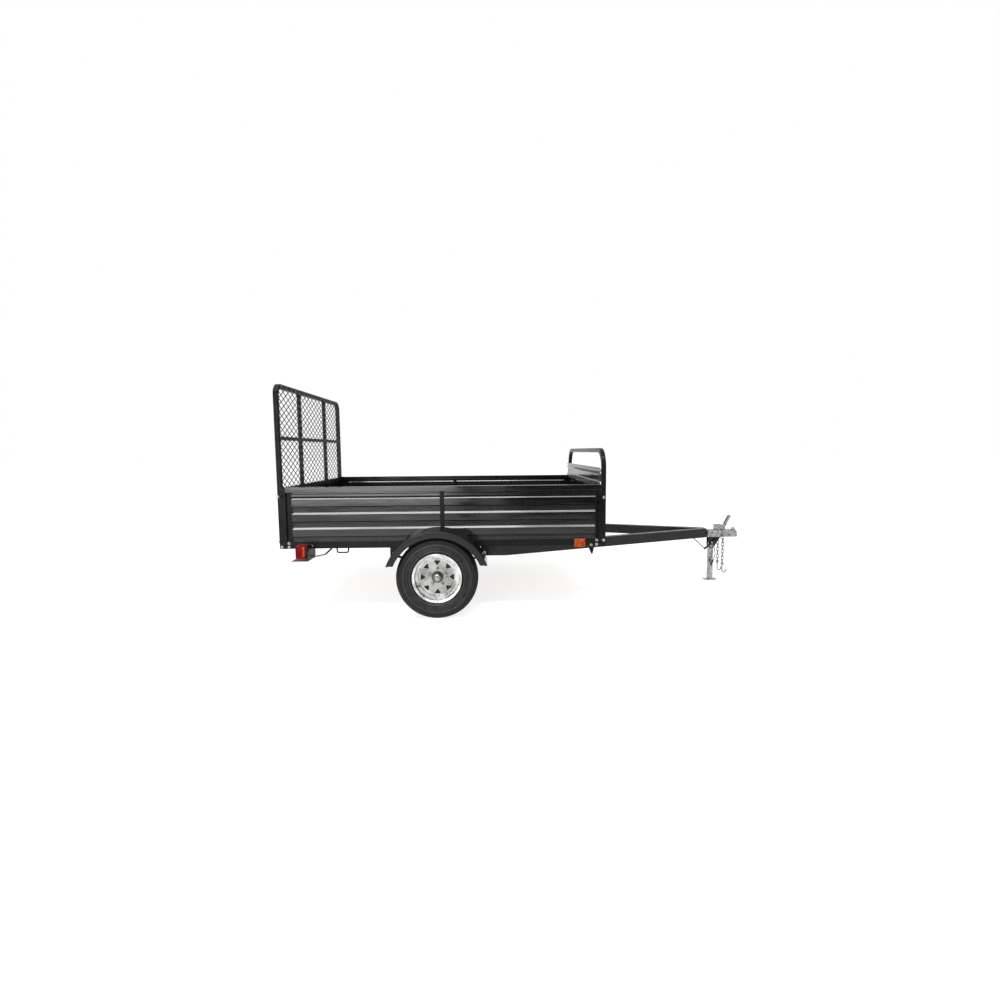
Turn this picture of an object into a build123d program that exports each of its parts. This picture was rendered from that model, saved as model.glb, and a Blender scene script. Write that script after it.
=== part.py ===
"""A single-axle utility trailer with ribbed steel sides, a front hoop and a fold-down ramp gate.

Row frame: +X towards the coupler, +Y to the trailer's left, +Z up, millimetres.
The origin lies on the ground under the middle of the overall length and width.
Paired pieces are drawn on the left and mirrored to the right.
"""
from build123d import *
import math
import os

os.makedirs("parts", exist_ok=True)

# ---------------------------------------------------------------- driving dimensions
overall_length = 3612          # gate's rear face to the coupler's nose
bed_length = 2300              # gate's rear face to the hoop's front face
bed_width = 1549               # over the side walls
frame_bottom = 450             # underside of the bed frame above the ground
frame_tube = 50                # square tube of the bed frame
tube_wall = 3
tube_edge = 3                  # outside corner radius of the small square tubes
wall_height = 383              # side walls above the bed frame
panel_rise = 120               # front panel above the side walls
hoop_rise = 257                # front hoop above the side walls
hoop_tube = 32
hoop_bend = 150                # outer radius of the hoop's corners
sheet = 2.5                    # ribbed sheet
seat = 0.3                     # gap between formed faces that rest on each other
pin_play = 0.1                 # radial clearance of a pin in its hole

top_rail_height = 38
top_rail_width = 30
post_width = 42
post_plate = 4
post_setback = 15              # gate's rear face to the rear posts
rear_recess = 40               # set-back strip between a rear post and the ribbed sheet
front_recess = 22              # set-back strip between the ribbed sheet and a front post
front_post_width = 20
recess_depth = 18
mid_post_setback = 1130
mid_post_width = 29

deck_thickness = 38
deck_boards = 8
board_gap = 5
deck_inset = 32                # deck's edges from the walls' outer faces

gate_tube = 32
gate_rise = 717                # gate above the side walls
gate_side_gap = 5
gate_swing = 27                # hinge axis to the bed's rear edge
gate_pivot_height = 504
gate_bend = 75                 # outer radius of the gate's top corners
gate_bar = 26                  # inner bars
gate_bays = 3                  # equal bays between the gate's cross bars
gate_upright_offset = 310      # inner uprights from the centre line
hinge_pin = 6                  # radius
mesh_sheet = 3
mesh_long = 150                # long way of a diamond
mesh_short = 80                # short way of a diamond
mesh_strand = 9
mesh_border = 8                # gate's outline to the mesh

axle_setback = 1120            # gate's rear face to the axle
wheel_radius = 277
tyre_width = 126
wheel_offset = 159.5           # side walls to a wheel's middle plane
axle_tube = 45
spindle_radius = 15
spring_span = 640              # eye to eye
spring_width = 45
spring_leaf = 8
spring_drop = 43               # bed frame to a spring's eye
leaf_reaches = (1.0, 0.68, 0.4)

fender_gap = 84                # tyre's radius to the fender's
fender_drop = 42               # fender's centre below the axle
fender_width = 230
fender_sheet = 2.5
fender_lip = 44
fender_roll = 7                # radius of the rolled edge
fender_start = 21              # degrees above the horizontal at both ends

rail_height = 76
rail_width = 50
rail_spread = 0.389            # sideways run of a tongue rail for each unit of length
rail_tip = 38                  # centre line to the rails' outer faces at the tip
rail_tip_setback = 282         # coupler's nose to the rails' tip
rail_end_inset = 60            # bed frame's side to the rails' mitred ends

coupler_bottom = 377
coupler_height = 59
coupler_width = 78
coupler_wall = 4
ball_radius = 25.4
ball_play = 0.6
stand_pivot_height = 300
stand_pivot_setback = 228      # coupler's nose to the stand's pivot
stand_tube = 38
stand_pin = 6

# ---------------------------------------------------------------- places worked out from them
half_width = bed_width / 2
frame_top = frame_bottom + frame_tube
wall_top = frame_top + wall_height
rear = -overall_length / 2
nose = overall_length / 2
front = rear + bed_length
hoop_rear = front - hoop_tube
gate_middle = rear + gate_tube / 2
bed_rear = gate_middle + gate_swing
axle_x = rear + axle_setback
axle_z = wheel_radius
frame_side = half_width - post_plate
frame_inner = frame_side - frame_tube
post_rear = rear + post_setback
post_front = post_rear + post_width
mid_post_rear = rear + mid_post_setback
wheel_plane = half_width + wheel_offset
spring_plane = frame_side - frame_tube / 2
fender_radius = wheel_radius + fender_gap
panel_top = wall_top - top_rail_height


def across(y_high):
    """A plane for profiles drawn in X and Z, whose extrusions run from y_high towards -Y."""
    return Plane.XZ.offset(-y_high)


def save(made, name):
    """Label a finished piece and write it under its node's name."""
    made.part.label = name
    export_step(made.part, f"parts/{name}.step")


def save_pair(made, name):
    """Write the left-hand piece, and its mirror image on the right."""
    for side, piece in (("left", made.part), ("right", mirror(made.part, about=Plane.XZ))):
        piece.label = f"{name}_{side}"
        export_step(piece, f"parts/{name}_{side}.step")


def square_tube(size, wall, edge=tube_edge):
    """The section of a square tube, drawn in the open sketch."""
    RectangleRounded(size, size, edge)
    Rectangle(size - 2 * wall, size - 2 * wall, mode=Mode.SUBTRACT)


# ---------------------------------------------------------------- bed frame
with BuildPart() as side_rail:
    with BuildSketch(Plane.YZ.offset(bed_rear)):
        with Locations((frame_side - frame_tube / 2, frame_bottom + frame_tube / 2)):
            square_tube(frame_tube, tube_wall)
    extrude(amount=hoop_rear - bed_rear)
save_pair(side_rail, "side_rail")

for name, start in (("rear_crossmember", bed_rear), ("front_crossmember", hoop_rear - frame_tube)):
    with BuildPart() as end_member:
        with BuildSketch(across(frame_inner)):
            with Locations((start + frame_tube / 2, frame_bottom + frame_tube / 2)):
                square_tube(frame_tube, tube_wall)
        extrude(amount=2 * frame_inner)
    save(end_member, name)

member_flange = 38
member_web = 4
member_count = 3
member_pitch = (hoop_rear - bed_rear - 2 * frame_tube) / (member_count + 1)
with BuildPart() as crossmembers:
    for index in range(member_count):
        web_x = bed_rear + frame_tube + member_pitch * (index + 1)
        with BuildSketch(across(frame_inner)):
            with Locations((web_x, frame_bottom)):
                Rectangle(member_web, frame_tube, align=(Align.MIN, Align.MIN))
            with Locations((web_x, frame_top)):
                Rectangle(member_flange, member_web, align=(Align.MIN, Align.MAX))
        extrude(amount=2 * frame_inner)
save(crossmembers, "crossmembers")

# ---------------------------------------------------------------- deck
deck_side = half_width - deck_inset
deck_rear = post_front
deck_front = hoop_rear - deck_inset
board_width = (2 * deck_side - board_gap * (deck_boards - 1)) / deck_boards
with BuildPart() as deck:
    with BuildSketch(Plane.XY.offset(frame_top)):
        with Locations(((deck_rear + deck_front) / 2, 0)):
            with GridLocations(0, board_width + board_gap, 1, deck_boards):
                Rectangle(deck_front - deck_rear, board_width)
    extrude(amount=deck_thickness)
save(deck, "deck_boards")

# ---------------------------------------------------------------- ribbed walls
# One bay of the ribbed sheet from its top down: (drop, set-in from the wall's outer face).
bay_pitch = 106
bay_rows = ((0, 14), (14, 3), (63, 3), (70, 14), (75, 14), (77, 9), (82, 9), (84, 14),
            (90, 14), (92, 9), (97, 9), (99, 14))
# The rolled bead above the first bay: (drop, set-in).
bead_rows = ((0, 14), (9, 14), (13, 4), (28, 4), (33, 14))
bead_height = 34


def ribbed_section(top, bottom):
    """Points (set-in, height) around the ribbed sheet's section between two heights."""
    rows = [(set_in, top - drop) for drop, set_in in bead_rows]
    start = top - bead_height
    while start > bottom:
        rows += [(set_in, start - drop) for drop, set_in in bay_rows if start - drop > bottom + 1]
        start -= bay_pitch
    rows.append((rows[-1][0], bottom))
    return rows + [(set_in + sheet, height) for set_in, height in reversed(rows)]


panel_rear = post_front + rear_recess
panel_front = hoop_rear - front_post_width - front_recess
for place, start, end in (("rear", panel_rear, mid_post_rear), ("front", mid_post_rear + mid_post_width, panel_front)):
    with BuildPart() as side_panel:
        with BuildSketch(Plane.YZ.offset(start)):
            with BuildLine():
                Polyline(*[(half_width - set_in, height) for set_in, height in ribbed_section(panel_top, frame_top)],
                         close=True)
            make_face()
        extrude(amount=end - start)
    save_pair(side_panel, f"side_panel_{place}")

with BuildPart() as top_rail:
    with BuildSketch(Plane.YZ.offset(post_front)):
        with Locations((half_width - top_rail_width / 2, wall_top - top_rail_height / 2)):
            RectangleRounded(top_rail_width, top_rail_height, tube_edge)
            Rectangle(top_rail_width - 2 * tube_wall, top_rail_height - 2 * tube_wall, mode=Mode.SUBTRACT)
    extrude(amount=hoop_rear - post_front)
save_pair(top_rail, "top_rail")

with BuildPart() as mid_posts:
    with BuildSketch(Plane.XY.offset(frame_top)):
        with Locations((mid_post_rear + mid_post_width / 2, 0)):
            with GridLocations(0, bed_width - mid_post_width, 1, 2):
                square_tube(mid_post_width, tube_wall)
    extrude(amount=panel_top - frame_top)
save(mid_posts, "mid_posts")

# Rear corner angle; its foot reaches back as the plate that the gate's pin turns in.
hinge_reach = 10
hinge_plate_height = 108
latch_x = gate_middle + 9
latch_height = wall_top - 62
latch_pin = 5                  # radius
with BuildPart() as rear_post:
    with BuildSketch(across(half_width)):
        with Locations((post_rear, frame_bottom)):
            Rectangle(post_width, wall_top - frame_bottom, align=(Align.MIN, Align.MIN))
        with Locations((post_rear - hinge_reach, frame_bottom)):
            Rectangle(hinge_reach, hinge_plate_height, align=(Align.MIN, Align.MIN))
        with Locations((gate_middle, gate_pivot_height)):
            Circle(hinge_pin + pin_play, mode=Mode.SUBTRACT)
        with Locations((latch_x, latch_height)):
            Circle(latch_pin + pin_play, mode=Mode.SUBTRACT)
    extrude(amount=post_plate)
    with BuildSketch(Plane.XY.offset(frame_top)):
        with Locations((post_front, half_width)):
            Rectangle(post_plate, recess_depth + post_plate, align=(Align.MAX, Align.MAX))
        with Locations((post_front - post_plate, half_width - recess_depth)):
            Rectangle(rear_recess + post_plate, post_plate, align=(Align.MIN, Align.MAX))
    extrude(amount=panel_top - frame_top)
save_pair(rear_post, "rear_post")

# Front corner post: a folded strip whose set-back leg carries the ribbed sheet's end.
with BuildPart() as front_post:
    with BuildSketch(Plane.XY.offset(frame_top)):
        with Locations((hoop_rear, half_width)):
            Rectangle(front_post_width, post_plate, align=(Align.MAX, Align.MAX))
        with Locations((hoop_rear - front_post_width, half_width)):
            Rectangle(post_plate, recess_depth + post_plate, align=(Align.MIN, Align.MAX))
        with Locations((hoop_rear - front_post_width + post_plate, half_width - recess_depth)):
            Rectangle(front_recess + post_plate, post_plate, align=(Align.MAX, Align.MAX))
    extrude(amount=panel_top - frame_top)
save_pair(front_post, "front_post")

# ---------------------------------------------------------------- front wall and hoop
# The front sheet fits between the side walls, and above them it spans the whole width.
front_panel_side = half_width - top_rail_width - seat
front_section = [(hoop_rear - set_in, height) for set_in, height in ribbed_section(wall_top + panel_rise, frame_top)]
with BuildPart() as front_panel:
    for panel_side, cut_height in ((front_panel_side, frame_top), (half_width, wall_top + seat)):
        with BuildSketch(across(panel_side)):
            with BuildLine():
                Polyline(*front_section, close=True)
            make_face()
            with Locations((hoop_rear, cut_height)):
                Rectangle(2 * bay_pitch, 2 * wall_height, align=(Align.CENTER, Align.MIN), mode=Mode.INTERSECT)
        extrude(amount=2 * panel_side)
save(front_panel, "front_panel")

with BuildPart() as front_hoop:
    hoop_leg = half_width - hoop_tube / 2
    crown = wall_top + hoop_rise - hoop_tube / 2
    with BuildLine(Plane.YZ.offset(front - hoop_tube / 2)) as hoop_path:
        FilletPolyline((-hoop_leg, frame_bottom), (-hoop_leg, crown), (hoop_leg, crown), (hoop_leg, frame_bottom),
                       radius=hoop_bend - hoop_tube / 2)
    with BuildSketch(Plane.XY.offset(frame_bottom)):
        with Locations((front - hoop_tube / 2, -hoop_leg)):
            square_tube(hoop_tube, tube_wall)
    sweep(path=hoop_path.wires()[0])
save(front_hoop, "front_hoop")

# ---------------------------------------------------------------- ramp gate
gate_side = frame_side - gate_side_gap
gate_top = wall_top + gate_rise
gate_leg = gate_side - gate_tube / 2
gate_crown = gate_top - gate_tube / 2
gate_bottom = gate_pivot_height - gate_tube / 2
pin_head = 6
with BuildPart() as gate_frame:
    with BuildLine(Plane.YZ.offset(gate_middle)) as gate_path:
        FilletPolyline((-gate_leg, gate_bottom), (-gate_leg, gate_crown), (gate_leg, gate_crown),
                       (gate_leg, gate_bottom), radius=gate_bend - gate_tube / 2)
    with BuildSketch(Plane.XY.offset(gate_bottom)):
        with Locations((gate_middle, -gate_leg)):
            RectangleRounded(gate_tube, gate_tube, tube_edge)
    sweep(path=gate_path.wires()[0])
    # cross bars and inner uprights, flush with the frame's front face where the mesh lies
    bar_x = rear + gate_tube - gate_bar / 2
    bay_height = (gate_crown - gate_pivot_height) / gate_bays
    with BuildSketch(across(gate_leg)):
        for level in range(gate_bays):
            with Locations((bar_x, gate_pivot_height + level * bay_height)):
                Rectangle(gate_bar, gate_bar)
    extrude(amount=2 * gate_leg)
    with BuildSketch(Plane.XY.offset(gate_pivot_height)):
        with Locations((bar_x, 0)):
            with GridLocations(0, 2 * gate_upright_offset, 1, 2):
                Rectangle(gate_bar - 1, gate_bar - 1)
    extrude(amount=gate_crown - gate_pivot_height)
    for way in (1, -1):
        with Locations((gate_middle, way * (half_width - gate_tube / 2), gate_pivot_height)):
            Cylinder(hinge_pin, gate_tube + 2 * pin_head, rotation=(90, 0, 0))
        with Locations((gate_middle, way * (half_width + seat + pin_head / 2), gate_pivot_height)):
            Cylinder(2 * hinge_pin, pin_head, rotation=(90, 0, 0))
save(gate_frame, "gate_frame")

mesh_width = 2 * (gate_side - mesh_border)
mesh_height = gate_top - gate_bottom - 2 * mesh_border
mesh_columns = int((mesh_width - 2 * mesh_strand) // mesh_long)
mesh_rows = int((mesh_height - 2 * mesh_strand) // mesh_short)
with BuildPart() as gate_mesh:
    with BuildSketch(Plane.YZ.offset(rear + gate_tube)):
        with Locations((0, (gate_top + gate_bottom) / 2)):
            RectangleRounded(mesh_width, mesh_height, gate_bend - mesh_border)
            for columns, rows in ((mesh_columns, mesh_rows), (mesh_columns - 1, mesh_rows - 1)):
                with GridLocations(mesh_long, mesh_short, columns, rows):
                    long_half = mesh_long / 2 - mesh_strand
                    short_half = mesh_short / 2 - mesh_strand / 2
                    Polygon((-long_half, 0), (0, -short_half), (long_half, 0), (0, short_half), align=None,
                            mode=Mode.SUBTRACT)
    extrude(amount=mesh_sheet)
save(gate_mesh, "gate_mesh")

# Spring bolts on the corner posts; their pins stop short of the gate's side tubes.
latch_barrel = 9               # radius
latch_length = 30
latch_gap = 1
latch_knob = 8
pull_length = 14
with BuildPart() as gate_latches:
    for way in (1, -1):
        pin_end = gate_side + latch_gap
        pull_end = half_width + latch_length + pull_length
        with Locations((latch_x, way * (pin_end + pull_end) / 2, latch_height)):
            Cylinder(latch_pin, pull_end - pin_end, rotation=(90, 0, 0))
        with Locations((latch_x, way * (half_width + latch_length / 2), latch_height)):
            Cylinder(latch_barrel, latch_length, rotation=(90, 0, 0))
        with Locations((latch_x, way * pull_end, latch_height)):
            Sphere(latch_knob)
save(gate_latches, "gate_latches")

# ---------------------------------------------------------------- axle and springs
spring_seat = axle_z + axle_tube / 2
eye_radius = 14
eye_rise = eye_radius - spring_leaf / 2
eye_z = frame_bottom - spring_drop
# The main leaf's arc runs from the axle's seat up to its eyes.
spring_rise = eye_z - eye_rise - spring_seat - (len(leaf_reaches) - 0.5) * spring_leaf
spring_radius = ((spring_span / 2) ** 2 + spring_rise ** 2) / (2 * spring_rise) - spring_leaf / 2
arc_z = spring_seat + len(leaf_reaches) * spring_leaf + spring_radius
eye_pin = 6
cheek_plate = 5
hanger_length = 52
hanger_drop = spring_drop + 20
hanger_gap = spring_width + 2 * seat
# Channel hangers under the side rail; a bolt through each carries a spring's eye.
with BuildPart() as spring_hangers:
    for end in (-1, 1):
        spring_eye = axle_x + end * spring_span / 2
        with BuildSketch(Plane.YZ.offset(spring_eye - hanger_length / 2)):
            with Locations((spring_plane, frame_bottom)):
                Rectangle(hanger_gap + 2 * cheek_plate, hanger_drop, align=(Align.CENTER, Align.MAX))
            with Locations((spring_plane, frame_bottom - cheek_plate)):
                Rectangle(hanger_gap, hanger_drop, align=(Align.CENTER, Align.MAX), mode=Mode.SUBTRACT)
        extrude(amount=hanger_length)
        with Locations((spring_eye, spring_plane, eye_z)):
            Cylinder(eye_pin, hanger_gap + 2 * cheek_plate + 2, rotation=(90, 0, 0))
save_pair(spring_hangers, "spring_hangers")

ubolt = 5                      # radius
ubolt_x = 32
ubolt_y = spring_width / 2 + ubolt + 1
plate_thickness = 8
plate_z = axle_z - axle_tube / 2 - plate_thickness / 2
leaf_curl = (ubolt_x + ubolt) ** 2 / (2 * spring_radius)
ubolt_top = spring_seat + len(leaf_reaches) * spring_leaf + leaf_curl + seat + ubolt
axle_end = wheel_plane - 74
with BuildPart() as axle:
    with BuildSketch(across(axle_end)):
        with Locations((axle_x, axle_z)):
            RectangleRounded(axle_tube, axle_tube, tube_edge)
    extrude(amount=2 * axle_end)
    with Locations((axle_x, 0, axle_z)):
        Cylinder(spindle_radius, 2 * (wheel_plane + 28), rotation=(90, 0, 0))
    for way in (1, -1):
        with Locations((axle_x, way * spring_plane, plate_z)):
            Box(2 * ubolt_x + 4 * ubolt, 2 * ubolt_y + 4 * ubolt, plate_thickness)
        for bolt_x in (-ubolt_x, ubolt_x):
            with Locations((axle_x + bolt_x, way * spring_plane, ubolt_top)):
                Cylinder(ubolt, 2 * ubolt_y, rotation=(90, 0, 0))
            for bolt_y in (-ubolt_y, ubolt_y):
                with Locations((axle_x + bolt_x, way * spring_plane + bolt_y, plate_z - 2 * plate_thickness)):
                    Cylinder(ubolt, ubolt_top - plate_z + 2 * plate_thickness,
                             align=(Align.CENTER, Align.CENTER, Align.MIN))
                with Locations((axle_x + bolt_x, way * spring_plane + bolt_y, ubolt_top)):
                    Sphere(ubolt)
save(axle, "axle")

with BuildPart() as leaf_spring:
    for leaf, reach in enumerate(leaf_reaches):
        leaf_radius = spring_radius + leaf * spring_leaf
        with BuildSketch(across(spring_plane + spring_width / 2)):
            with Locations((axle_x, arc_z)):
                Circle(leaf_radius + spring_leaf)
                Circle(leaf_radius, mode=Mode.SUBTRACT)
            with Locations((axle_x, spring_seat)):
                Rectangle(reach * spring_span, spring_radius / 2, mode=Mode.INTERSECT)
        extrude(amount=spring_width)
    with BuildSketch(across(spring_plane + spring_width / 2)):
        with Locations((axle_x - spring_span / 2, eye_z), (axle_x + spring_span / 2, eye_z)):
            Circle(eye_radius)
    extrude(amount=spring_width)
    with Locations((axle_x - spring_span / 2, spring_plane, eye_z), (axle_x + spring_span / 2, spring_plane, eye_z)):
        Cylinder(eye_pin + pin_play, 2 * spring_width, rotation=(90, 0, 0), mode=Mode.SUBTRACT)
save_pair(leaf_spring, "leaf_spring")

# ---------------------------------------------------------------- wheels
wheel_axis = Axis((axle_x, 0, axle_z), (0, 1, 0))
hub_radius = 36
hub_flange = 72
hub_flange_width = 8
hub_length = 62
cap_radius = 27
cap_reach = 50
with BuildPart() as hub:
    with BuildSketch(Plane.YZ.offset(axle_x)):
        with BuildLine():
            bore = axle_z + spindle_radius + pin_play
            bore_end = wheel_plane + 32
            Polyline((bore_end, axle_z), (bore_end, bore), (wheel_plane - hub_length, bore),
                     (wheel_plane - hub_length, axle_z + hub_radius),
                     (wheel_plane - hub_flange_width, axle_z + hub_radius),
                     (wheel_plane - hub_flange_width, axle_z + hub_flange), (wheel_plane, axle_z + hub_flange),
                     (wheel_plane, axle_z + cap_radius + 2), (wheel_plane + 22, axle_z + cap_radius),
                     (wheel_plane + cap_reach - 8, axle_z + cap_radius - 1),
                     (wheel_plane + cap_reach, axle_z + cap_radius - 9), (wheel_plane + cap_reach, axle_z), close=True)
        make_face()
    revolve(axis=wheel_axis)
save_pair(hub, "hub")

rim_half = 56
flange_radius = 167
disc_radius = 128.5
disc_thickness = 5
window_count = 8
window_inner = 80
window_outer = 113
window_half = 23
window_corner = 5
# Half section of the rolled rim: (out from the middle plane, radius), outside then back along the inside.
rim_rows = ((-56, 167), (-51, 167), (-48, 155), (-28, 151), (-20, 131), (14, 131), (24, 151), (48, 155), (51, 167),
            (56, 167), (53, 151), (27, 147), (17, 128), (-23, 128), (-31, 147), (-53, 151))
with BuildSketch() as window:
    Polygon((window_inner, 0), (window_outer, window_half), (window_outer, -window_half), align=None)
    fillet(window.vertices(), window_corner)
with BuildPart() as rim:
    with BuildSketch(Plane.YZ.offset(axle_x)):
        with BuildLine():
            Polyline(*[(wheel_plane + out, axle_z + radius) for out, radius in rim_rows], close=True)
        make_face()
    revolve(axis=wheel_axis)
    with BuildSketch(across(wheel_plane + disc_thickness)):
        with Locations((axle_x, axle_z)):
            Circle(disc_radius)
            Circle(cap_radius + 4, mode=Mode.SUBTRACT)
            with PolarLocations(0, window_count):
                add(window.sketch, mode=Mode.SUBTRACT)
    extrude(amount=disc_thickness)
save_pair(rim, "rim")

bead_half = 47
bead_radius = 155 + seat
tyre_half = tyre_width / 2
side_middle = (flange_radius + wheel_radius) / 2
# Half section of the tyre from its bead out to the crown: (out from the middle plane, radius).
tyre_rows = ((bead_half, bead_radius), (bead_half + 3, flange_radius + 1), (tyre_half - 5, flange_radius + 9),
             (tyre_half - 1, side_middle - 14), (tyre_half, side_middle), (tyre_half - 2, side_middle + 25),
             (tyre_half - 6, wheel_radius - 15), (tyre_half - 13, wheel_radius - 5), (tyre_half / 2, wheel_radius - 1))
with BuildPart() as tyre:
    with BuildSketch(Plane.YZ.offset(axle_x)):
        with BuildLine():
            left_half = [(wheel_plane + out, axle_z + radius) for out, radius in tyre_rows]
            right_half = [(wheel_plane - out, axle_z + radius) for out, radius in reversed(tyre_rows)]
            Polyline(*left_half, (wheel_plane, axle_z + wheel_radius), *right_half, close=True)
        make_face()
    revolve(axis=wheel_axis)
save_pair(tyre, "tyre")

# ---------------------------------------------------------------- fenders
fender_z = axle_z - fender_drop
fender_end_z = fender_z + fender_radius * math.sin(math.radians(fender_start))
brace_offset = 215
brace_width = 30
brace_plate = 5
roll_proud = 1.5
brace_top = fender_z + math.sqrt((fender_radius - fender_sheet) ** 2 - (brace_offset + brace_width / 2) ** 2) - seat
with BuildPart() as fender:
    # The arched skin, then its turned-down outer lip: (inner radius, width).
    for inner_radius, width in ((fender_radius - fender_sheet, fender_width),
                                (fender_radius - fender_lip, fender_sheet)):
        with BuildSketch(across(half_width + fender_width)):
            with Locations((axle_x, fender_z)):
                Circle(fender_radius)
                Circle(inner_radius, mode=Mode.SUBTRACT)
            with Locations((axle_x, fender_end_z)):
                Rectangle(2 * fender_radius, fender_radius, align=(Align.CENTER, Align.MIN), mode=Mode.INTERSECT)
        extrude(amount=width)
    # the rolled bead along the lip's top, standing a little proud of both sheets
    start = math.radians(fender_start)
    with BuildSketch(Plane(origin=(axle_x, 0, fender_z), x_dir=(math.cos(start), 0, math.sin(start)),
                           z_dir=(-math.sin(start), 0, math.cos(start)))):
        with Locations((fender_radius - fender_roll + roll_proud, half_width + fender_width - fender_roll + roll_proud)):
            Circle(fender_roll)
    revolve(axis=Axis((axle_x, 0, fender_z), (0, -1, 0)), revolution_arc=180 - 2 * fender_start)
save_pair(fender, "fender")

with BuildPart() as fender_braces:
    brace_reach = fender_width + post_plate - 2 * fender_roll - brace_plate
    with BuildSketch(Plane.YZ.offset(axle_x - brace_offset - brace_width / 2)):
        with Locations((frame_side, brace_top)):
            Rectangle(brace_reach, brace_plate, align=(Align.MIN, Align.MAX))
            Rectangle(brace_plate, brace_top - frame_bottom, align=(Align.MIN, Align.MAX))
    extrude(amount=brace_width)
    mirror(about=Plane.YZ.offset(axle_x))
save_pair(fender_braces, "fender_braces")

# ---------------------------------------------------------------- tongue
rail_tip_x = nose - rail_tip_setback
rail_end_y = frame_side - rail_end_inset
rail_slant = rail_width * math.sqrt(1 + rail_spread ** 2)
rail_turn_x = rail_tip_x - (rail_end_y - rail_tip) / rail_spread
rail_end_x = rail_turn_x - rail_slant / rail_spread
rail_bottom = frame_bottom - rail_height
# Each rail is mitred where it meets its twin at the tip, and parallel to the bed's side at its rear end.
with BuildPart() as tongue_rail:
    for inset, low, high, mode in ((0, rail_bottom, frame_bottom, Mode.ADD),
                                   (tube_wall, rail_bottom + tube_wall, frame_bottom - tube_wall, Mode.SUBTRACT)):
        with BuildSketch(Plane.XY.offset(low)):
            with BuildLine():
                Polyline((rail_tip_x, 0), (rail_tip_x, rail_tip), (rail_turn_x, rail_end_y), (rail_end_x, rail_end_y),
                         (rail_tip_x - (rail_slant - rail_tip) / rail_spread, 0), close=True)
            make_face()
            if inset:
                offset(amount=-inset)
        extrude(amount=high - low, mode=mode)
save_pair(tongue_rail, "tongue_rail")

head_wall = 4
head_length = 118
head_height = coupler_height - coupler_wall
head_width = coupler_width - 2 * coupler_wall
with BuildPart() as tongue_head:
    with BuildSketch(Plane.YZ.offset(rail_tip_x)):
        with Locations((0, coupler_bottom + head_height / 2)):
            Rectangle(head_width, head_height)
            Rectangle(head_width - 2 * head_wall, head_height - 2 * head_wall, mode=Mode.SUBTRACT)
    extrude(amount=head_length)
save(tongue_head, "tongue_head")

# ---------------------------------------------------------------- coupler
coupler_top = coupler_bottom + coupler_height
sleeve_rear = nose - 270
sleeve_front = nose - 128
socket_radius = ball_radius + ball_play
cup_radius = socket_radius + 2 * coupler_wall
cup_lip = 2
cup_x = nose - cup_radius - cup_lip
socket_z = coupler_bottom + 28
eye_x = nose - 142
chain_eye_z = coupler_bottom + 9
chain_eye = 3.5
chain_eye_reach = 18
with BuildPart() as coupler_body:
    with BuildSketch(Plane.YZ.offset(sleeve_rear)):
        with Locations((0, coupler_bottom)):
            Rectangle(coupler_width, coupler_height, align=(Align.CENTER, Align.MIN))
            Rectangle(coupler_width - 2 * coupler_wall, coupler_height - coupler_wall, align=(Align.CENTER, Align.MIN),
                      mode=Mode.SUBTRACT)
    extrude(amount=sleeve_front - sleeve_rear)
    # pressed neck from the sleeve to the ball cup, open underneath
    for inset, high, mode in ((0, coupler_height, Mode.ADD), (coupler_wall, coupler_height - coupler_wall, Mode.SUBTRACT)):
        with BuildSketch(Plane.XY.offset(coupler_bottom)):
            with BuildLine():
                Polyline((sleeve_front, -coupler_width / 2 + inset), (sleeve_front, coupler_width / 2 - inset),
                         (cup_x, cup_radius - inset), (cup_x, -cup_radius + inset), close=True)
            make_face()
        extrude(amount=high, mode=mode)
    with BuildSketch(Plane.XZ):
        with BuildLine():
            Line((cup_x, coupler_bottom), (cup_x + cup_radius + cup_lip, coupler_bottom))
            Line((cup_x + cup_radius + cup_lip, coupler_bottom), (cup_x + cup_radius + cup_lip, coupler_bottom + 8))
            Line((cup_x + cup_radius + cup_lip, coupler_bottom + 8), (cup_x + cup_radius, coupler_bottom + 8))
            Line((cup_x + cup_radius, coupler_bottom + 8), (cup_x + cup_radius, socket_z))
            CenterArc((cup_x, socket_z), cup_radius, 0, 90)
            Line((cup_x, socket_z + cup_radius), (cup_x, coupler_bottom))
        make_face()
    revolve(axis=Axis((cup_x, 0, 0), (0, 0, 1)))
    with Locations((cup_x, 0, coupler_bottom)):
        Cylinder(socket_radius, socket_z - coupler_bottom, align=(Align.CENTER, Align.CENTER, Align.MIN),
                 mode=Mode.SUBTRACT)
    with Locations((cup_x, 0, socket_z)):
        Sphere(socket_radius, mode=Mode.SUBTRACT)
    for way in (1, -1):
        with Locations((eye_x, way * (coupler_width + chain_eye_reach - coupler_wall) / 2, chain_eye_z)):
            Cylinder(chain_eye, chain_eye_reach + coupler_wall, rotation=(90, 0, 0))
        with Locations((eye_x, way * (coupler_width / 2 + chain_eye_reach), chain_eye_z)):
            Cylinder(2 * chain_eye, chain_eye, rotation=(90, 0, 0))
save(coupler_body, "coupler_body")

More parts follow.
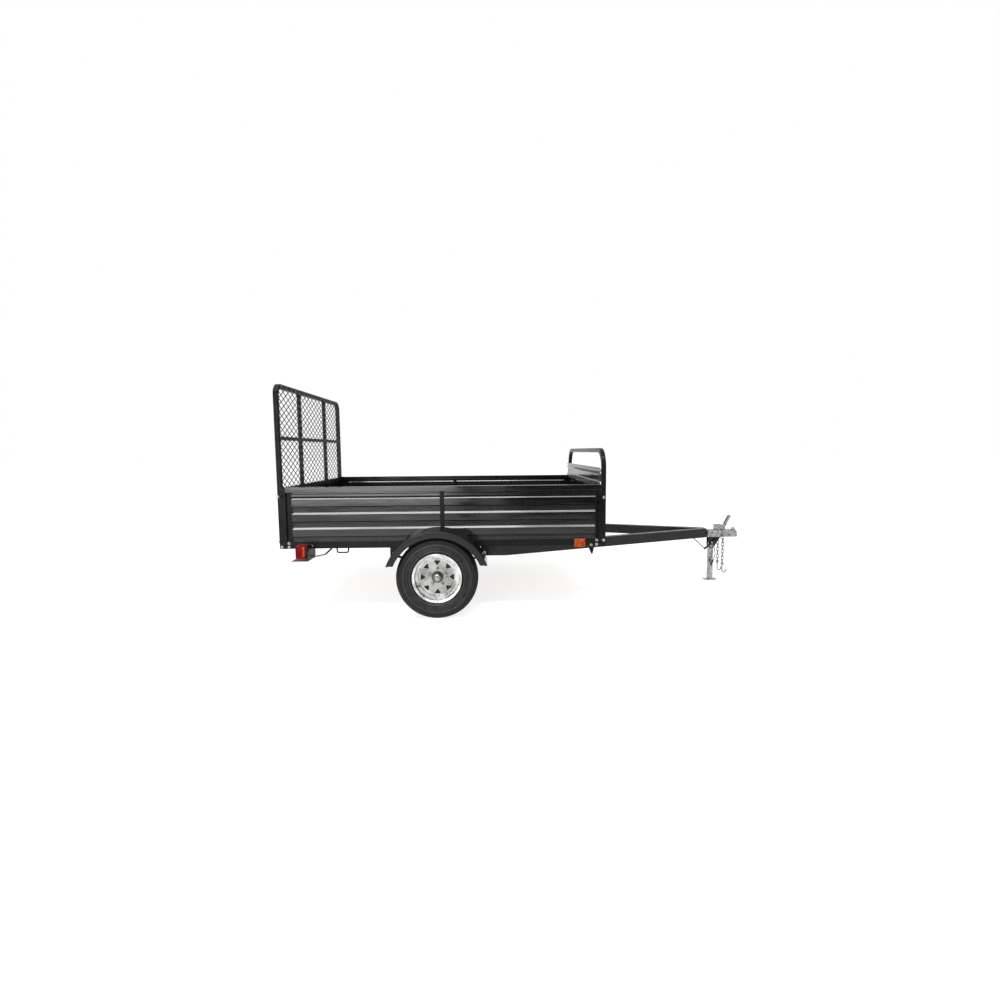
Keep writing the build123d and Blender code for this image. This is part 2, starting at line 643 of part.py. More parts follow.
# The latch block on top, and its raised lever pressed as a channel that opens to the rear.
latch_rear = nose - 201
latch_block_length = 56
latch_block_height = 46
latch_block_width = 28
latch_step = 34
lever_x = nose - 100           # middle of the raised lever
lever_z = coupler_top + 63
lever_reach = 136
lever_angle = 63
lever_width = 24
lever_thickness = 20
lever_wall = 3
lever_pocket = 70
with BuildPart() as coupler_latch:
    with BuildSketch(across(latch_block_width / 2)):
        with BuildLine():
            block_low = coupler_top + seat
            block_front = latch_rear + latch_block_length
            Polyline((latch_rear, block_low), (block_front + latch_step, block_low),
                     (block_front + latch_step, block_low + latch_block_height / 3),
                     (block_front, block_low + latch_block_height), (latch_rear, block_low + latch_block_height),
                     close=True)
        make_face()
    extrude(amount=latch_block_width)
    lever_place = Location((lever_x, lever_z, 0), (0, 0, lever_angle))
    with BuildSketch(across(lever_width / 2)):
        with Locations(lever_place):
            SlotOverall(lever_reach, lever_thickness)
    extrude(amount=lever_width)
    with BuildSketch(across(lever_width / 2 - lever_wall)):
        with Locations(lever_place):
            with Locations((lever_pocket / 4, lever_wall)):
                Rectangle(lever_pocket, lever_thickness)
    extrude(amount=lever_width - 2 * lever_wall, mode=Mode.SUBTRACT)
save(coupler_latch, "coupler_latch")

# ---------------------------------------------------------------- safety chains
link_wire = 3.5                # radius
link_pitch = 30
link_width = 17                # between the middles of a link's two sides
wire_sides = 8                 # the wire is drawn as a rod with flats
hook_wire = 5                  # radius
hook_bend = 16
hook_eye = 10
hook_shank = 46
hook_tip = 12

# One stadium-shaped wire link at the origin, its long way along X.
link_straight = (link_pitch + seat) / 2 - link_width / 2 + link_wire
with BuildPart() as link:
    with BuildSketch(Plane.YZ):
        with Locations((link_width / 2, 0), (-link_width / 2, 0)):
            RegularPolygon(link_wire, wire_sides)
    extrude(amount=link_straight)
    with BuildSketch(Plane.YZ.offset(link_straight)):
        with Locations((link_width / 2, 0)):
            RegularPolygon(link_wire, wire_sides)
    revolve(axis=Axis((link_straight, 0, 0), (0, 0, -1)), revolution_arc=180)
    mirror(about=Plane.YZ)

chain_y = coupler_width / 2 + chain_eye_reach / 2
chain_top = chain_eye_z + chain_eye + link_wire + seat
link_count = 8
with BuildPart() as safety_chain:
    for index in range(link_count):
        middle = (eye_x, chain_y, chain_top - link_straight - link_width / 2 - link_pitch * index)
        turn = (1, 0, 0) if index % 2 else (0, 1, 0)
        with Locations(Location(Plane(origin=middle, x_dir=(0, 0, -1), z_dir=turn))):
            add(link.part)
    # open hook: an eye round the last link, a shank and a bend
    last_inside = middle[2] - link_straight - link_width / 2 + link_wire
    hook_eye_z = last_inside + seat + hook_wire - hook_eye
    # the eye stands crosswise to the last link
    with BuildSketch(across(chain_y) if link_count % 2 else Plane.YZ.offset(eye_x)):
        with Locations((eye_x if link_count % 2 else chain_y, hook_eye_z + hook_eye)):
            RegularPolygon(hook_wire, wire_sides)
    revolve(axis=Axis((eye_x, chain_y, hook_eye_z), (1, 0, 0) if link_count % 2 else (0, 1, 0)))
    shank_top = hook_eye_z - hook_eye
    shank_end = shank_top - hook_shank
    with BuildLine(across(chain_y)) as hook_path:
        Line((eye_x, shank_top), (eye_x, shank_end))
        ThreePointArc((eye_x, shank_end), (eye_x + hook_bend, shank_end - hook_bend),
                      (eye_x + 2 * hook_bend, shank_end))
        Line((eye_x + 2 * hook_bend, shank_end), (eye_x + 2 * hook_bend, shank_end + hook_tip))
    with BuildSketch(Plane.XY.offset(shank_top)):
        with Locations((eye_x, chain_y)):
            Circle(hook_wire)
    sweep(path=hook_path.wires()[0])
save_pair(safety_chain, "safety_chain")

# ---------------------------------------------------------------- parking stand
stand_x = nose - stand_pivot_setback
cheek_gap = 2
stand_cheek = 5
stand_plate = 5
bracket_length = 95
bracket_rear = stand_x - 24
cheek_inner = stand_tube / 2 + cheek_gap
cheek_outer = cheek_inner + stand_cheek
cheek_foot = stand_pivot_height - 22
# A flat strut on the right runs up and forward past the pivot, and a thin rod braces its foot to the right rail.
strut_side = 37                # centre line to the strut's inner face
strut_plate = 4
strut_width = 16
strut_foot = (stand_x - 65, stand_pivot_height - 22)
strut_middle = (stand_x - 1, stand_pivot_height + 29)
strut_pin = 5
stay_rod = 3.5
stay_top = (stand_x - 166, rail_bottom - 3)
stay_tab = 34
with BuildPart() as stand_bracket:
    with BuildSketch(Plane.XY.offset(coupler_bottom - stand_plate)):
        with Locations((bracket_rear, 0)):
            Rectangle(bracket_length, 2 * (strut_side + strut_plate), align=(Align.MIN, Align.CENTER))
    extrude(amount=stand_plate)
    for y_high in (cheek_outer, -cheek_inner):
        with BuildSketch(across(y_high)):
            with BuildLine():
                Polyline((bracket_rear, coupler_bottom - stand_plate),
                         (bracket_rear + bracket_length, coupler_bottom - stand_plate),
                         (stand_x + 24, cheek_foot + 16), (stand_x + 10, cheek_foot), (stand_x - 12, cheek_foot),
                         (bracket_rear, stand_pivot_height), close=True)
            make_face()
        extrude(amount=stand_cheek)
    with Locations((stand_x, 0, stand_pivot_height)):
        Cylinder(stand_pin, 2 * (cheek_outer + stand_cheek), rotation=(90, 0, 0))
    with BuildSketch(across(-strut_side)):
        SlotCenterPoint(strut_middle, strut_foot, strut_width)
        with BuildLine():
            rise = (strut_middle[1] - strut_foot[1]) / (strut_middle[0] - strut_foot[0])
            top_x = strut_middle[0] + (coupler_bottom - strut_middle[1]) / rise
            half_top = strut_width / 2 * math.sqrt(1 + 1 / rise ** 2)
            Polyline((strut_middle[0] - half_top, strut_middle[1]), (top_x - half_top, coupler_bottom),
                     (top_x + half_top, coupler_bottom), (strut_middle[0] + half_top, strut_middle[1]), close=True)
        make_face()
        with Locations((stand_x, coupler_bottom)):
            Rectangle(4 * bracket_length, 4 * bracket_length, align=(Align.CENTER, Align.MAX), mode=Mode.INTERSECT)
    extrude(amount=strut_plate)
    with BuildSketch(across(-cheek_inner)):
        with Locations(strut_middle):
            Circle(strut_pin)
    extrude(amount=strut_side + strut_plate - cheek_inner)
    stay_side = strut_side + strut_plate / 2
    with BuildLine(across(-stay_side)) as stay_path:
        Line(strut_foot, stay_top)
    with BuildSketch(Plane(origin=stay_path.wires()[0] @ 0, z_dir=stay_path.wires()[0] % 0)):
        Circle(stay_rod)
    sweep(path=stay_path.wires()[0])
    with Locations((stay_top[0], -stay_side, rail_bottom)):
        Box(stay_tab, strut_width, strut_plate, align=(Align.CENTER, Align.CENTER, Align.MAX))
save(stand_bracket, "stand_bracket")

foot_length = 110
foot_width = 60
foot_corner = 10
foot_plate = 6
leg_top = 26
with BuildPart() as stand_leg:
    with BuildSketch(Plane.XY.offset(foot_plate)):
        with Locations((stand_x, 0)):
            square_tube(stand_tube, tube_wall)
    extrude(amount=stand_pivot_height + leg_top - foot_plate)
    with Locations((stand_x, 0, stand_pivot_height)):
        Cylinder(stand_pin + pin_play, 2 * stand_tube, rotation=(90, 0, 0), mode=Mode.SUBTRACT)
    with BuildSketch(Plane.XY):
        with Locations((stand_x, 0)):
            RectangleRounded(foot_length, foot_width, foot_corner)
    extrude(amount=foot_plate)
save(stand_leg, "stand_leg")

# ---------------------------------------------------------------- lamps and small fittings
lamp_width = 100
lamp_height = 98
lamp_corner = 12
lamp_side = half_width + 10    # centre line to a lamp's inner side
lamp_rear = rear + 144
lamp_bottom = frame_bottom - 54
lens_depth = 73
housing_depth = 14
housing_inset = 4
shelf_top = lamp_bottom - 10
shelf_rear = lamp_rear - 22
bracket_plate = 4
bracket_x = lamp_rear + lens_depth + housing_depth
with BuildPart() as tail_lens:
    with BuildSketch(Plane.YZ.offset(lamp_rear)):
        with Locations((lamp_side + lamp_width / 2, lamp_bottom + lamp_height / 2)):
            RectangleRounded(lamp_width, lamp_height, lamp_corner)
    extrude(amount=lens_depth)
save_pair(tail_lens, "tail_lens")

# A plate under the side rail carries the lamp's housing, and its shelf reaches back below the lens.
with BuildPart() as lamp_bracket:
    with BuildSketch(Plane.YZ.offset(lamp_rear + lens_depth)):
        with Locations((lamp_side + lamp_width / 2, lamp_bottom + lamp_height / 2)):
            RectangleRounded(lamp_width - 2 * housing_inset, lamp_height - 2 * housing_inset, lamp_corner)
    extrude(amount=housing_depth)
    shelf_width = lamp_side + lamp_width - frame_inner
    with BuildSketch(Plane.YZ.offset(bracket_x)):
        with Locations((frame_inner, shelf_top - bracket_plate)):
            Rectangle(shelf_width, frame_bottom - shelf_top + bracket_plate, align=(Align.MIN, Align.MIN))
        with Locations((lamp_side, frame_bottom)):
            Rectangle(lamp_width - 2 * lamp_corner, lamp_corner, align=(Align.MIN, Align.MIN))
    extrude(amount=bracket_plate)
    with BuildSketch(Plane.XY.offset(shelf_top - bracket_plate)):
        with Locations((shelf_rear, lamp_side)):
            Rectangle(bracket_x + bracket_plate - shelf_rear, lamp_width, align=(Align.MIN, Align.MIN))
    extrude(amount=bracket_plate)
save_pair(lamp_bracket, "lamp_bracket")

plate_hole_spacing = 178
plate_hole = 3.5               # radius
plate_y = 0.75 * half_width
plate_bar = plate_hole_spacing + 30
plate_drop = 40
plate_hole_drop = 22
plate_flange = 30
plate_steel = 3
with BuildPart() as plate_bracket:
    with BuildSketch(Plane.YZ.offset(bed_rear)):
        with Locations((plate_y, frame_bottom)):
            Rectangle(plate_bar, plate_drop, align=(Align.CENTER, Align.MAX))
        with Locations((plate_y, frame_bottom - plate_hole_drop)):
            with GridLocations(plate_hole_spacing, 0, 2, 1):
                Circle(plate_hole, mode=Mode.SUBTRACT)
    extrude(amount=plate_steel)
    with BuildSketch(Plane.XY.offset(frame_bottom - plate_steel)):
        with Locations((bed_rear, plate_y)):
            Rectangle(plate_flange, plate_bar, align=(Align.MIN, Align.CENTER))
    extrude(amount=plate_steel)
save(plate_bracket, "plate_bracket")

marker_x = rear + 2115
marker_z = frame_bottom + 21
marker_length = 82
marker_height = 67
marker_corner = 14
marker_depth = 14
with BuildPart() as side_markers:
    for y_high in (frame_side + marker_depth, -frame_side):
        with BuildSketch(across(y_high)):
            with Locations((marker_x, marker_z)):
                RectangleRounded(marker_length, marker_height, marker_corner)
        extrude(amount=marker_depth)
save(side_markers, "side_markers")

tie_rod = 5                    # radius
tie_x = rear + 438
tie_half = 40
tie_drop = 32
with BuildPart() as tie_down:
    tie_y = frame_side - 3 * tie_rod
    with BuildLine(across(tie_y)) as tie_path:
        FilletPolyline((tie_x - tie_half, frame_bottom), (tie_x - tie_half, frame_bottom - tie_drop),
                       (tie_x + tie_half, frame_bottom - tie_drop), (tie_x + tie_half, frame_bottom),
                       radius=3 * tie_rod)
    with BuildSketch(Plane.XY.offset(frame_bottom)):
        with Locations((tie_x - tie_half, tie_y)):
            Circle(tie_rod)
    sweep(path=tie_path.wires()[0])
save_pair(tie_down, "tie_down")

gusset_x = rear + 2196
gusset_top = frame_bottom + 18
gusset_foot = frame_bottom - 59
with BuildPart() as corner_gussets:
    for y_high in (half_width, -frame_side):
        with BuildSketch(across(y_high)):
            with BuildLine():
                Polyline((gusset_x - 29, gusset_top), (gusset_x + 28, gusset_top), (gusset_x + 12, gusset_foot),
                         (gusset_x + 2, gusset_foot), close=True)
            make_face()
        extrude(amount=post_plate)
save(corner_gussets, "corner_gussets")

# ---------------------------------------------------------------- leads
# Lamp lead: from the lamp's bracket through its butt connector, up to the underside of the side rail.
lead_radius = 2.5
lead_bend = 25
lead_y = frame_side - 35
lead_x = bracket_x + bracket_plate
lead_low = shelf_top + 3
lead_high = frame_bottom - lead_radius - seat
connector = 6                  # radius
connector_start = (lead_x + 11, lead_low)
connector_end = (lead_x + 69, lead_low + 11)
with BuildPart() as lamp_leads:
    for way in (1, -1):
        with BuildLine(across(way * lead_y)) as lead_path:
            FilletPolyline((lead_x, lead_low), connector_start, connector_end, (lead_x + 124, lead_high),
                           (lead_x + 154, lead_high), radius=lead_bend)
        with BuildSketch(Plane.YZ.offset(lead_x)):
            with Locations((way * lead_y, lead_low)):
                Circle(lead_radius)
        sweep(path=lead_path.wires()[0])
        with BuildLine(across(way * lead_y)) as connector_path:
            Line(connector_start, connector_end)
        with BuildSketch(Plane(origin=connector_path.wires()[0] @ 0, z_dir=connector_path.wires()[0] % 0)):
            Circle(connector)
        sweep(path=connector_path.wires()[0])
save(lamp_leads, "lamp_leads")

# Tongue lead: hangs from a clip on the stand's strut down to its flat plug.
cord_y = -(strut_side + strut_plate + 7)
cord_radius = 3
cord_points = ((stand_x + 10, cord_y, 306), (stand_x + 19, cord_y, 262), (stand_x + 24, cord_y, 212),
               (stand_x + 6, cord_y, 178))


def cord_bends(points):
    """A radius for each corner: 0.45 of its shorter run, divided by the tangent of half the turn."""
    spots = [Vector(*point) for point in points]
    radii = []
    for before, corner, after in zip(spots, spots[1:], spots[2:]):
        turn = math.radians((corner - before).get_angle(after - corner))
        run = min((corner - before).length, (after - corner).length)
        radii.append(0.45 * run / math.tan(turn / 2))
    return radii


bends = cord_bends(cord_points)
print("tongue lead bend radii", [round(bend) for bend in bends])
with BuildPart() as tongue_lead:
    with BuildLine() as cord_path:
        FilletPolyline(*cord_points, radius=bends)
    cord_wire = cord_path.wires()[0]
    with BuildSketch(Plane(origin=cord_wire @ 0, z_dir=cord_wire % 0)):
        Circle(cord_radius)
    sweep(path=cord_wire)
save(tongue_lead, "tongue_lead")

plug_length = 46
plug_width = 18
plug_thickness = 9
plug_corner = 2
with BuildPart() as lead_plug:
    with BuildSketch(Plane(origin=cord_wire @ 1, x_dir=(0, 1, 0), z_dir=cord_wire % 1)):
        RectangleRounded(plug_thickness, plug_width, plug_corner)
    extrude(amount=plug_length)
save(lead_plug, "lead_plug")

clip_wall = 3
clip_length = 30
clip_reach = -strut_side - strut_plate - seat - cord_y
with BuildPart() as lead_clip:
    with BuildSketch(Plane(origin=cord_wire @ 0, x_dir=(0, 1, 0), z_dir=-(cord_wire % 0))):
        Circle(cord_radius + clip_wall)
        Rectangle(clip_reach, 2 * cord_radius, align=(Align.MIN, Align.CENTER))
    extrude(amount=clip_length)
save(lead_clip, "lead_clip")
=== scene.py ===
import math

import bmesh
import bpy
from mathutils import Matrix, Vector


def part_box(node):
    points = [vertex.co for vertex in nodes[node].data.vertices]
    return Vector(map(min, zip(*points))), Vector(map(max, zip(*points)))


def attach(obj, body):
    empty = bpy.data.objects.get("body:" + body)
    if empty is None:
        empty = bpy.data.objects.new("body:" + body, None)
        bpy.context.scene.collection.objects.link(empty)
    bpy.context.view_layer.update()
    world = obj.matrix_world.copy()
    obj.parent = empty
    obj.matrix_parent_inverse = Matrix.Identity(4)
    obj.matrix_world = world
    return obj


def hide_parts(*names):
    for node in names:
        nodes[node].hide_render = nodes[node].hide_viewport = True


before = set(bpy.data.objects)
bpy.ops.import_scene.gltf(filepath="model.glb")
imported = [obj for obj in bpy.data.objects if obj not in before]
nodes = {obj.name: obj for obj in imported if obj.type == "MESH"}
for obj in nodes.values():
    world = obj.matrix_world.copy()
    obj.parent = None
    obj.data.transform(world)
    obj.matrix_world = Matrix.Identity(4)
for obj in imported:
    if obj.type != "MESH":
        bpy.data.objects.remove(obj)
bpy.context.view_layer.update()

# ---------------------------------------------------------------- camera
# The view of the trailer's right-hand side, from a little above the walls' top,
# turned slightly towards the coupler and tipped down.
camera_spot = (-0.3398, -4.4791, 1.1266)
camera_lens = 19.08
camera_turn = math.radians(1.319)
camera_dip = math.radians(5.327)
camera_roll = math.radians(0.449)
view_data = bpy.data.cameras.new("side_view")
view_data.lens = camera_lens
view_data.sensor_width = 36
side_view = bpy.data.objects.new("side_view", view_data)
side_view.matrix_world = (Matrix.Translation(camera_spot)
                          @ Matrix.Rotation(-camera_turn, 4, "Z")
                          @ Matrix.Rotation(math.pi / 2 - camera_dip, 4, "X")
                          @ Matrix.Rotation(-camera_roll, 4, "Z"))
bpy.context.scene.collection.objects.link(side_view)
bpy.context.scene.camera = side_view


# ---------------------------------------------------------------- tongue lead
# The lead of the lamps: a round black PVC sheath that leaves its clip on the stand's strut,
# hangs by its own weight and ends in a flat moulded plug.
class Finish:
    """A surface built from noise on the piece's own coordinates."""

    def __init__(self, name, colour, roughness=0.5, metallic=0.0, gloss=0.5):
        self.material = bpy.data.materials.new(name)
        self.material.use_nodes = True
        self.tree = self.material.node_tree
        self.shader = self.tree.nodes["Principled BSDF"]
        self.shader.inputs["Base Color"].default_value = (*colour, 1)
        self.shader.inputs["Roughness"].default_value = roughness
        self.shader.inputs["Metallic"].default_value = metallic
        self.shader.inputs["Specular IOR Level"].default_value = gloss
        self.place = self.tree.nodes.new("ShaderNodeTexCoord").outputs["Object"]

    def add(self, kind, links=(), **settings):
        """A node with its settings, fed by (input name, socket) pairs."""
        node = self.tree.nodes.new(kind)
        for name, value in settings.items():
            setattr(node, name, value)
        for name, socket in links:
            self.tree.links.new(socket, node.inputs[name])
        return node

    def grain(self, size, stretch=(1, 1, 1), detail=3.0):
        """Noise whose grain has this size in metres, drawn out along the stretched axes."""
        spaced = self.add("ShaderNodeMapping", [("Vector", self.place)])
        spaced.inputs["Scale"].default_value = [1 / (size * way) for way in stretch]
        noise = self.add("ShaderNodeTexNoise", [("Vector", spaced.outputs["Vector"])])
        noise.inputs["Scale"].default_value = 1
        noise.inputs["Detail"].default_value = detail
        return noise.outputs["Fac"]

    def cells(self, size):
        """Random grey, one value to each crystal of this size in metres."""
        spaced = self.add("ShaderNodeMapping", [("Vector", self.place)])
        spaced.inputs["Scale"].default_value = (1 / size, 1 / size, 1 / size)
        crystal = self.add("ShaderNodeTexVoronoi", [("Vector", spaced.outputs["Vector"])])
        crystal.inputs["Scale"].default_value = 1
        value = self.add("ShaderNodeSeparateColor", [("Color", crystal.outputs["Color"])])
        return value.outputs["Red"]

    def spread(self, source, low, high, start=0.35, end=0.65):
        """The source's middle range drawn out from low to high."""
        ranged = self.add("ShaderNodeMapRange", [("Value", source)])
        for name, value in (("From Min", start), ("From Max", end), ("To Min", low), ("To Max", high)):
            ranged.inputs[name].default_value = value
        return ranged.outputs["Result"]

    def tint(self, source, colour):
        """Draws the colour that the surface had before towards another one by the source."""
        mixed = self.add("ShaderNodeMix", [("Factor", source)], data_type="RGBA")
        before = self.shader.inputs["Base Color"]
        if before.is_linked:
            self.tree.links.new(before.links[0].from_socket, mixed.inputs["A"])
        else:
            mixed.inputs["A"].default_value = before.default_value
        mixed.inputs["B"].default_value = (*colour, 1)
        self.tree.links.new(mixed.outputs["Result"], before)
        return self

    def polish(self, source):
        """Roughness that varies over the surface."""
        self.tree.links.new(source, self.shader.inputs["Roughness"])
        return self

    def mottle(self, size, colour, stretch=(1, 1, 1), detail=3.0):
        """Cloudy patches of another colour, of this size in metres."""
        return self.tint(self.spread(self.grain(size, stretch, detail), 0, 1), colour)

    def spangle(self, size, most, colour):
        """Crystals of this size, each at random up to this share of another colour."""
        return self.tint(self.spread(self.cells(size), 0, most, start=0, end=1), colour)

    def sheen(self, size, smooth, rough, stretch=(1, 1, 1)):
        """Roughness that drifts between two values in patches of this size."""
        return self.polish(self.spread(self.grain(size, stretch), smooth, rough))

    def relief(self, source, depth):
        """Raises the surface by the source, depth metres high, over the relief it had before."""
        bump = self.add("ShaderNodeBump", [("Height", source)])
        bump.inputs["Distance"].default_value = depth
        bump.inputs["Strength"].default_value = 1
        return self.turn(bump)

    def soft_edges(self, radius):
        """Shades every hard edge as if it had this radius."""
        rounded = self.add("ShaderNodeBevel", samples=4)
        rounded.inputs["Radius"].default_value = radius
        return self.turn(rounded)

    def turn(self, node):
        """Puts a node that turns the normal on top of those before it."""
        normal = self.shader.inputs["Normal"]
        if normal.is_linked:
            self.tree.links.new(normal.links[0].from_socket, node.inputs["Normal"])
        self.tree.links.new(node.outputs["Normal"], normal)
        return self


def finish_nodes(finish, *names):
    """Gives frame nodes their finish."""
    for name in names:
        slots = nodes[name].data.materials
        slots.clear()
        slots.append(finish.material)


def both(*names):
    """The left and right node of each name."""
    return [f"{name}_{side}" for name in names for side in ("left", "right")]


lead_sheath = Finish("lead_sheath", (0.012, 0.012, 0.013))
lead_sheath.mottle(0.02, (0.03, 0.029, 0.028))
lead_sheath.sheen(0.006, 0.35, 0.55)
lead_sheath.relief(lead_sheath.grain(0.0015), 0.0002)
lead_width = 0.006
lead_route = [Vector(spot) for spot in (
    (1.588, -0.048, 0.306), (1.597, -0.048, 0.262), (1.602, -0.048, 0.212), (1.584, -0.048, 0.178))]
lead_curve = bpy.data.curves.new("tongue_lead_cord", "CURVE")
lead_curve.dimensions = "3D"
lead_curve.bevel_depth = lead_width / 2
lead_curve.bevel_resolution = 4
lead_curve.use_fill_caps = True
lead_line = lead_curve.splines.new("NURBS")
lead_line.points.add(len(lead_route) - 1)
for point, spot in zip(lead_line.points, lead_route):
    point.co = (*spot, 1)
lead_line.order_u = 3
lead_line.use_endpoint_u = True
lead_line.resolution_u = 12
tongue_lead = bpy.data.objects.new("tongue_lead_cord", lead_curve)
bpy.context.scene.collection.objects.link(tongue_lead)
lead_curve.materials.append(lead_sheath.material)
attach(tongue_lead, "chassis")
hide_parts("tongue_lead")
finish_nodes(lead_sheath, "lead_plug", "lead_clip")

# ---------------------------------------------------------------- floor and light
# A plain pale studio floor that runs to the horizon and takes the trailer's shadow, a pale
# surround, two strip lamps overhead, a broad screen towards the gate, and two black cards that
# only glossy surfaces show.
floor_reach = 60
floor_mesh = bmesh.new()
bmesh.ops.create_grid(floor_mesh, x_segments=1, y_segments=1, size=floor_reach)
floor_data = bpy.data.meshes.new("floor")
floor_mesh.to_mesh(floor_data)
floor_mesh.free()
floor = bpy.data.objects.new("floor", floor_data)
bpy.context.scene.collection.objects.link(floor)
floor_glow = 0.78


def seen_white(tree):
    """A socket that is 1 for what the camera, a mirror or a clear lens sees."""
    ray = tree.nodes.new("ShaderNodeLightPath")
    socket = ray.outputs["Is Camera Ray"]
    for way in ("Is Glossy Ray", "Is Transmission Ray"):
        either = tree.nodes.new("ShaderNodeMath")
        either.operation = "MAXIMUM"
        tree.links.new(socket, either.inputs[0])
        tree.links.new(ray.outputs[way], either.inputs[1])
        socket = either.outputs["Value"]
    return socket


studio_white = Finish("studio_white", (0.8, 0.8, 0.8), roughness=0.9, gloss=0.1)
seen_glow = studio_white.spread(seen_white(studio_white.tree), 0, floor_glow, start=0, end=1)
glow = studio_white.add("ShaderNodeEmission", [("Strength", seen_glow)])
joined = studio_white.add("ShaderNodeAddShader")
floor_surface = studio_white.tree.nodes["Material Output"].inputs["Surface"]
studio_white.tree.links.new(studio_white.shader.outputs["BSDF"], joined.inputs[0])
studio_white.tree.links.new(glow.outputs["Emission"], joined.inputs[1])
studio_white.tree.links.new(joined.outputs["Shader"], floor_surface)
floor_data.materials.append(studio_white.material)

surround_level = 0.35
surround = bpy.data.worlds.new("surround")
surround.use_nodes = True
bpy.context.scene.world = surround
level = surround.node_tree.nodes.new("ShaderNodeMapRange")
level.inputs["To Min"].default_value = surround_level
level.inputs["To Max"].default_value = 1
surround.node_tree.links.new(seen_white(surround.node_tree), level.inputs["Value"])
surround_back = surround.node_tree.nodes["Background"]
surround.node_tree.links.new(level.outputs["Result"], surround_back.inputs["Strength"])
surround_back.inputs["Color"].default_value = (1, 1, 1, 1)


def soft_lamp(name, spot, target, width, height, brightness):
    """A large lamp at a spot, aimed at a target, whose face is this bright where white paper is 1."""
    data = bpy.data.lights.new(name, "AREA")
    data.shape = "RECTANGLE"
    data.size = width
    data.size_y = height
    data.energy = brightness * math.pi * width * height
    lamp = bpy.data.objects.new(name, data)
    lamp.location = spot
    lamp.rotation_euler = (Vector(target) - Vector(spot)).to_track_quat("-Z", "Y").to_euler()
    lamp.visible_camera = False
    bpy.context.scene.collection.objects.link(lamp)


soft_lamp("overhead_strip", spot=(-1.65, -2.1, 4.2), target=(-1.65, -0.8, 0.7), width=3.6, height=0.7,
          brightness=15)
soft_lamp("front_strip", spot=(0.9, -2.1, 4.2), target=(0.9, -0.8, 0.7), width=1.7, height=0.6,
          brightness=8)
soft_lamp("side_screen", spot=(-2.15, -5.0, 1.2), target=(-2.15, 0, 0.9), width=2.6, height=1.7,
          brightness=4.6)


def dark_card(name, spot, width, height):
    """An upright black card that only a glossy surface shows, as a studio sets beside one."""
    card_mesh = bmesh.new()
    upright_card = Matrix.Rotation(math.pi / 2, 4, "X") @ Matrix.Diagonal((width, height, 1, 1))
    bmesh.ops.create_grid(card_mesh, x_segments=1, y_segments=1, size=0.5,
                          matrix=Matrix.Translation(spot) @ upright_card)
    data = bpy.data.meshes.new(name)
    card_mesh.to_mesh(data)
    card_mesh.free()
    card = bpy.data.objects.new(name, data)
    bpy.context.scene.collection.objects.link(card)
    data.materials.append(card_black.material)
    card.visible_camera = False
    card.visible_diffuse = False
    card.visible_shadow = False


card_black = Finish("card_black", (0.01, 0.01, 0.01), roughness=0.9, gloss=0.1)
dark_card("front_card", spot=(0.75, -4.9, 0.42), width=1.7, height=0.7)
dark_card("gap_card", spot=(-0.62, -4.9, 0.5), width=0.25, height=0.9)
bpy.context.scene.view_settings.view_transform = "Standard"

# ---------------------------------------------------------------- bed frame
# Square steel tube for the outline and rolled angles between, welded and powder coated satin
# black. Plated bolts hold the corner angles, the rear hinge plates and the front braces to it.
coat_black = Finish("coat_black", (0.0035, 0.0035, 0.0037), gloss=0.13)
coat_black.mottle(0.12, (0.0085, 0.008, 0.0075))
coat_black.sheen(0.03, 0.2, 0.36)
coat_black.soft_edges(0.0015)
coat_black.relief(coat_black.grain(0.0012), 0.0001)
finish_nodes(coat_black, *both("side_rail", "spring_hangers", "tie_down", "lamp_bracket"), "rear_crossmember",
             "front_crossmember", "crossmembers", "corner_gussets", "plate_bracket")

zinc = Finish("zinc", (0.08, 0.08, 0.079), metallic=1.0)
zinc.mottle(0.014, (0.4, 0.4, 0.39))
zinc.spangle(0.003, 0.35, (0.55, 0.54, 0.52))
zinc.sheen(0.006, 0.18, 0.4)
zinc.soft_edges(0.0008)
washer_thick = 0.0016


def placed(spot, way):
    """The place of a shape that stands on a spot and rises the given way."""
    return Matrix.Translation(spot) @ Vector(way).to_track_quat("Z", "Y").to_matrix().to_4x4()


def stack(mesh, place, layers):
    """Turned layers, each on the one before: (bottom radius, top radius, height, sides)."""
    level = 0
    for bottom, top, height, sides in layers:
        bmesh.ops.create_cone(mesh, cap_ends=True, segments=sides, radius1=bottom, radius2=top, depth=height,
                              matrix=place @ Matrix.Translation((0, 0, level + height / 2)))
        level += height


def washer(size):
    """The round washer under a hexagon of this size across its corners."""
    return 0.64 * size, 0.6 * size, washer_thick, 20


def hex_bolt(mesh, spot, way, size):
    """A hexagon head, size across its corners, on its washer."""
    stack(mesh, placed(spot, way), (washer(size), (0.5 * size, 0.5 * size, 0.28 * size, 6),
                                    (0.5 * size, 0.4 * size, 0.07 * size, 6)))


def nut_and_stud(mesh, spot, way, size):
    """A hexagon nut on its washer, with the bolt's end standing out of it."""
    stack(mesh, placed(spot, way), (washer(size), (0.5 * size, 0.5 * size, 0.38 * size, 6),
                                    (0.44 * size, 0.38 * size, 0.06 * size, 6),
                                    (0.27 * size, 0.24 * size, 0.16 * size, 12)))


def piece(name, mesh, finish, body, slot_name, *replaced):
    """Turns a mesh into a piece of the trailer, smooth but for its sharp edges."""
    bmesh.ops.recalc_face_normals(mesh, faces=mesh.faces[:])
    data = bpy.data.meshes.new(name)
    mesh.to_mesh(data)
    mesh.free()
    data.materials.append(finish.material)
    data.shade_smooth()
    data.set_sharp_from_angle(angle=sharp_from)
    made = bpy.data.objects.new(name, data)
    bpy.context.scene.collection.objects.link(made)
    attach(made, body)
    if replaced:
        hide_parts(*replaced)
    return made


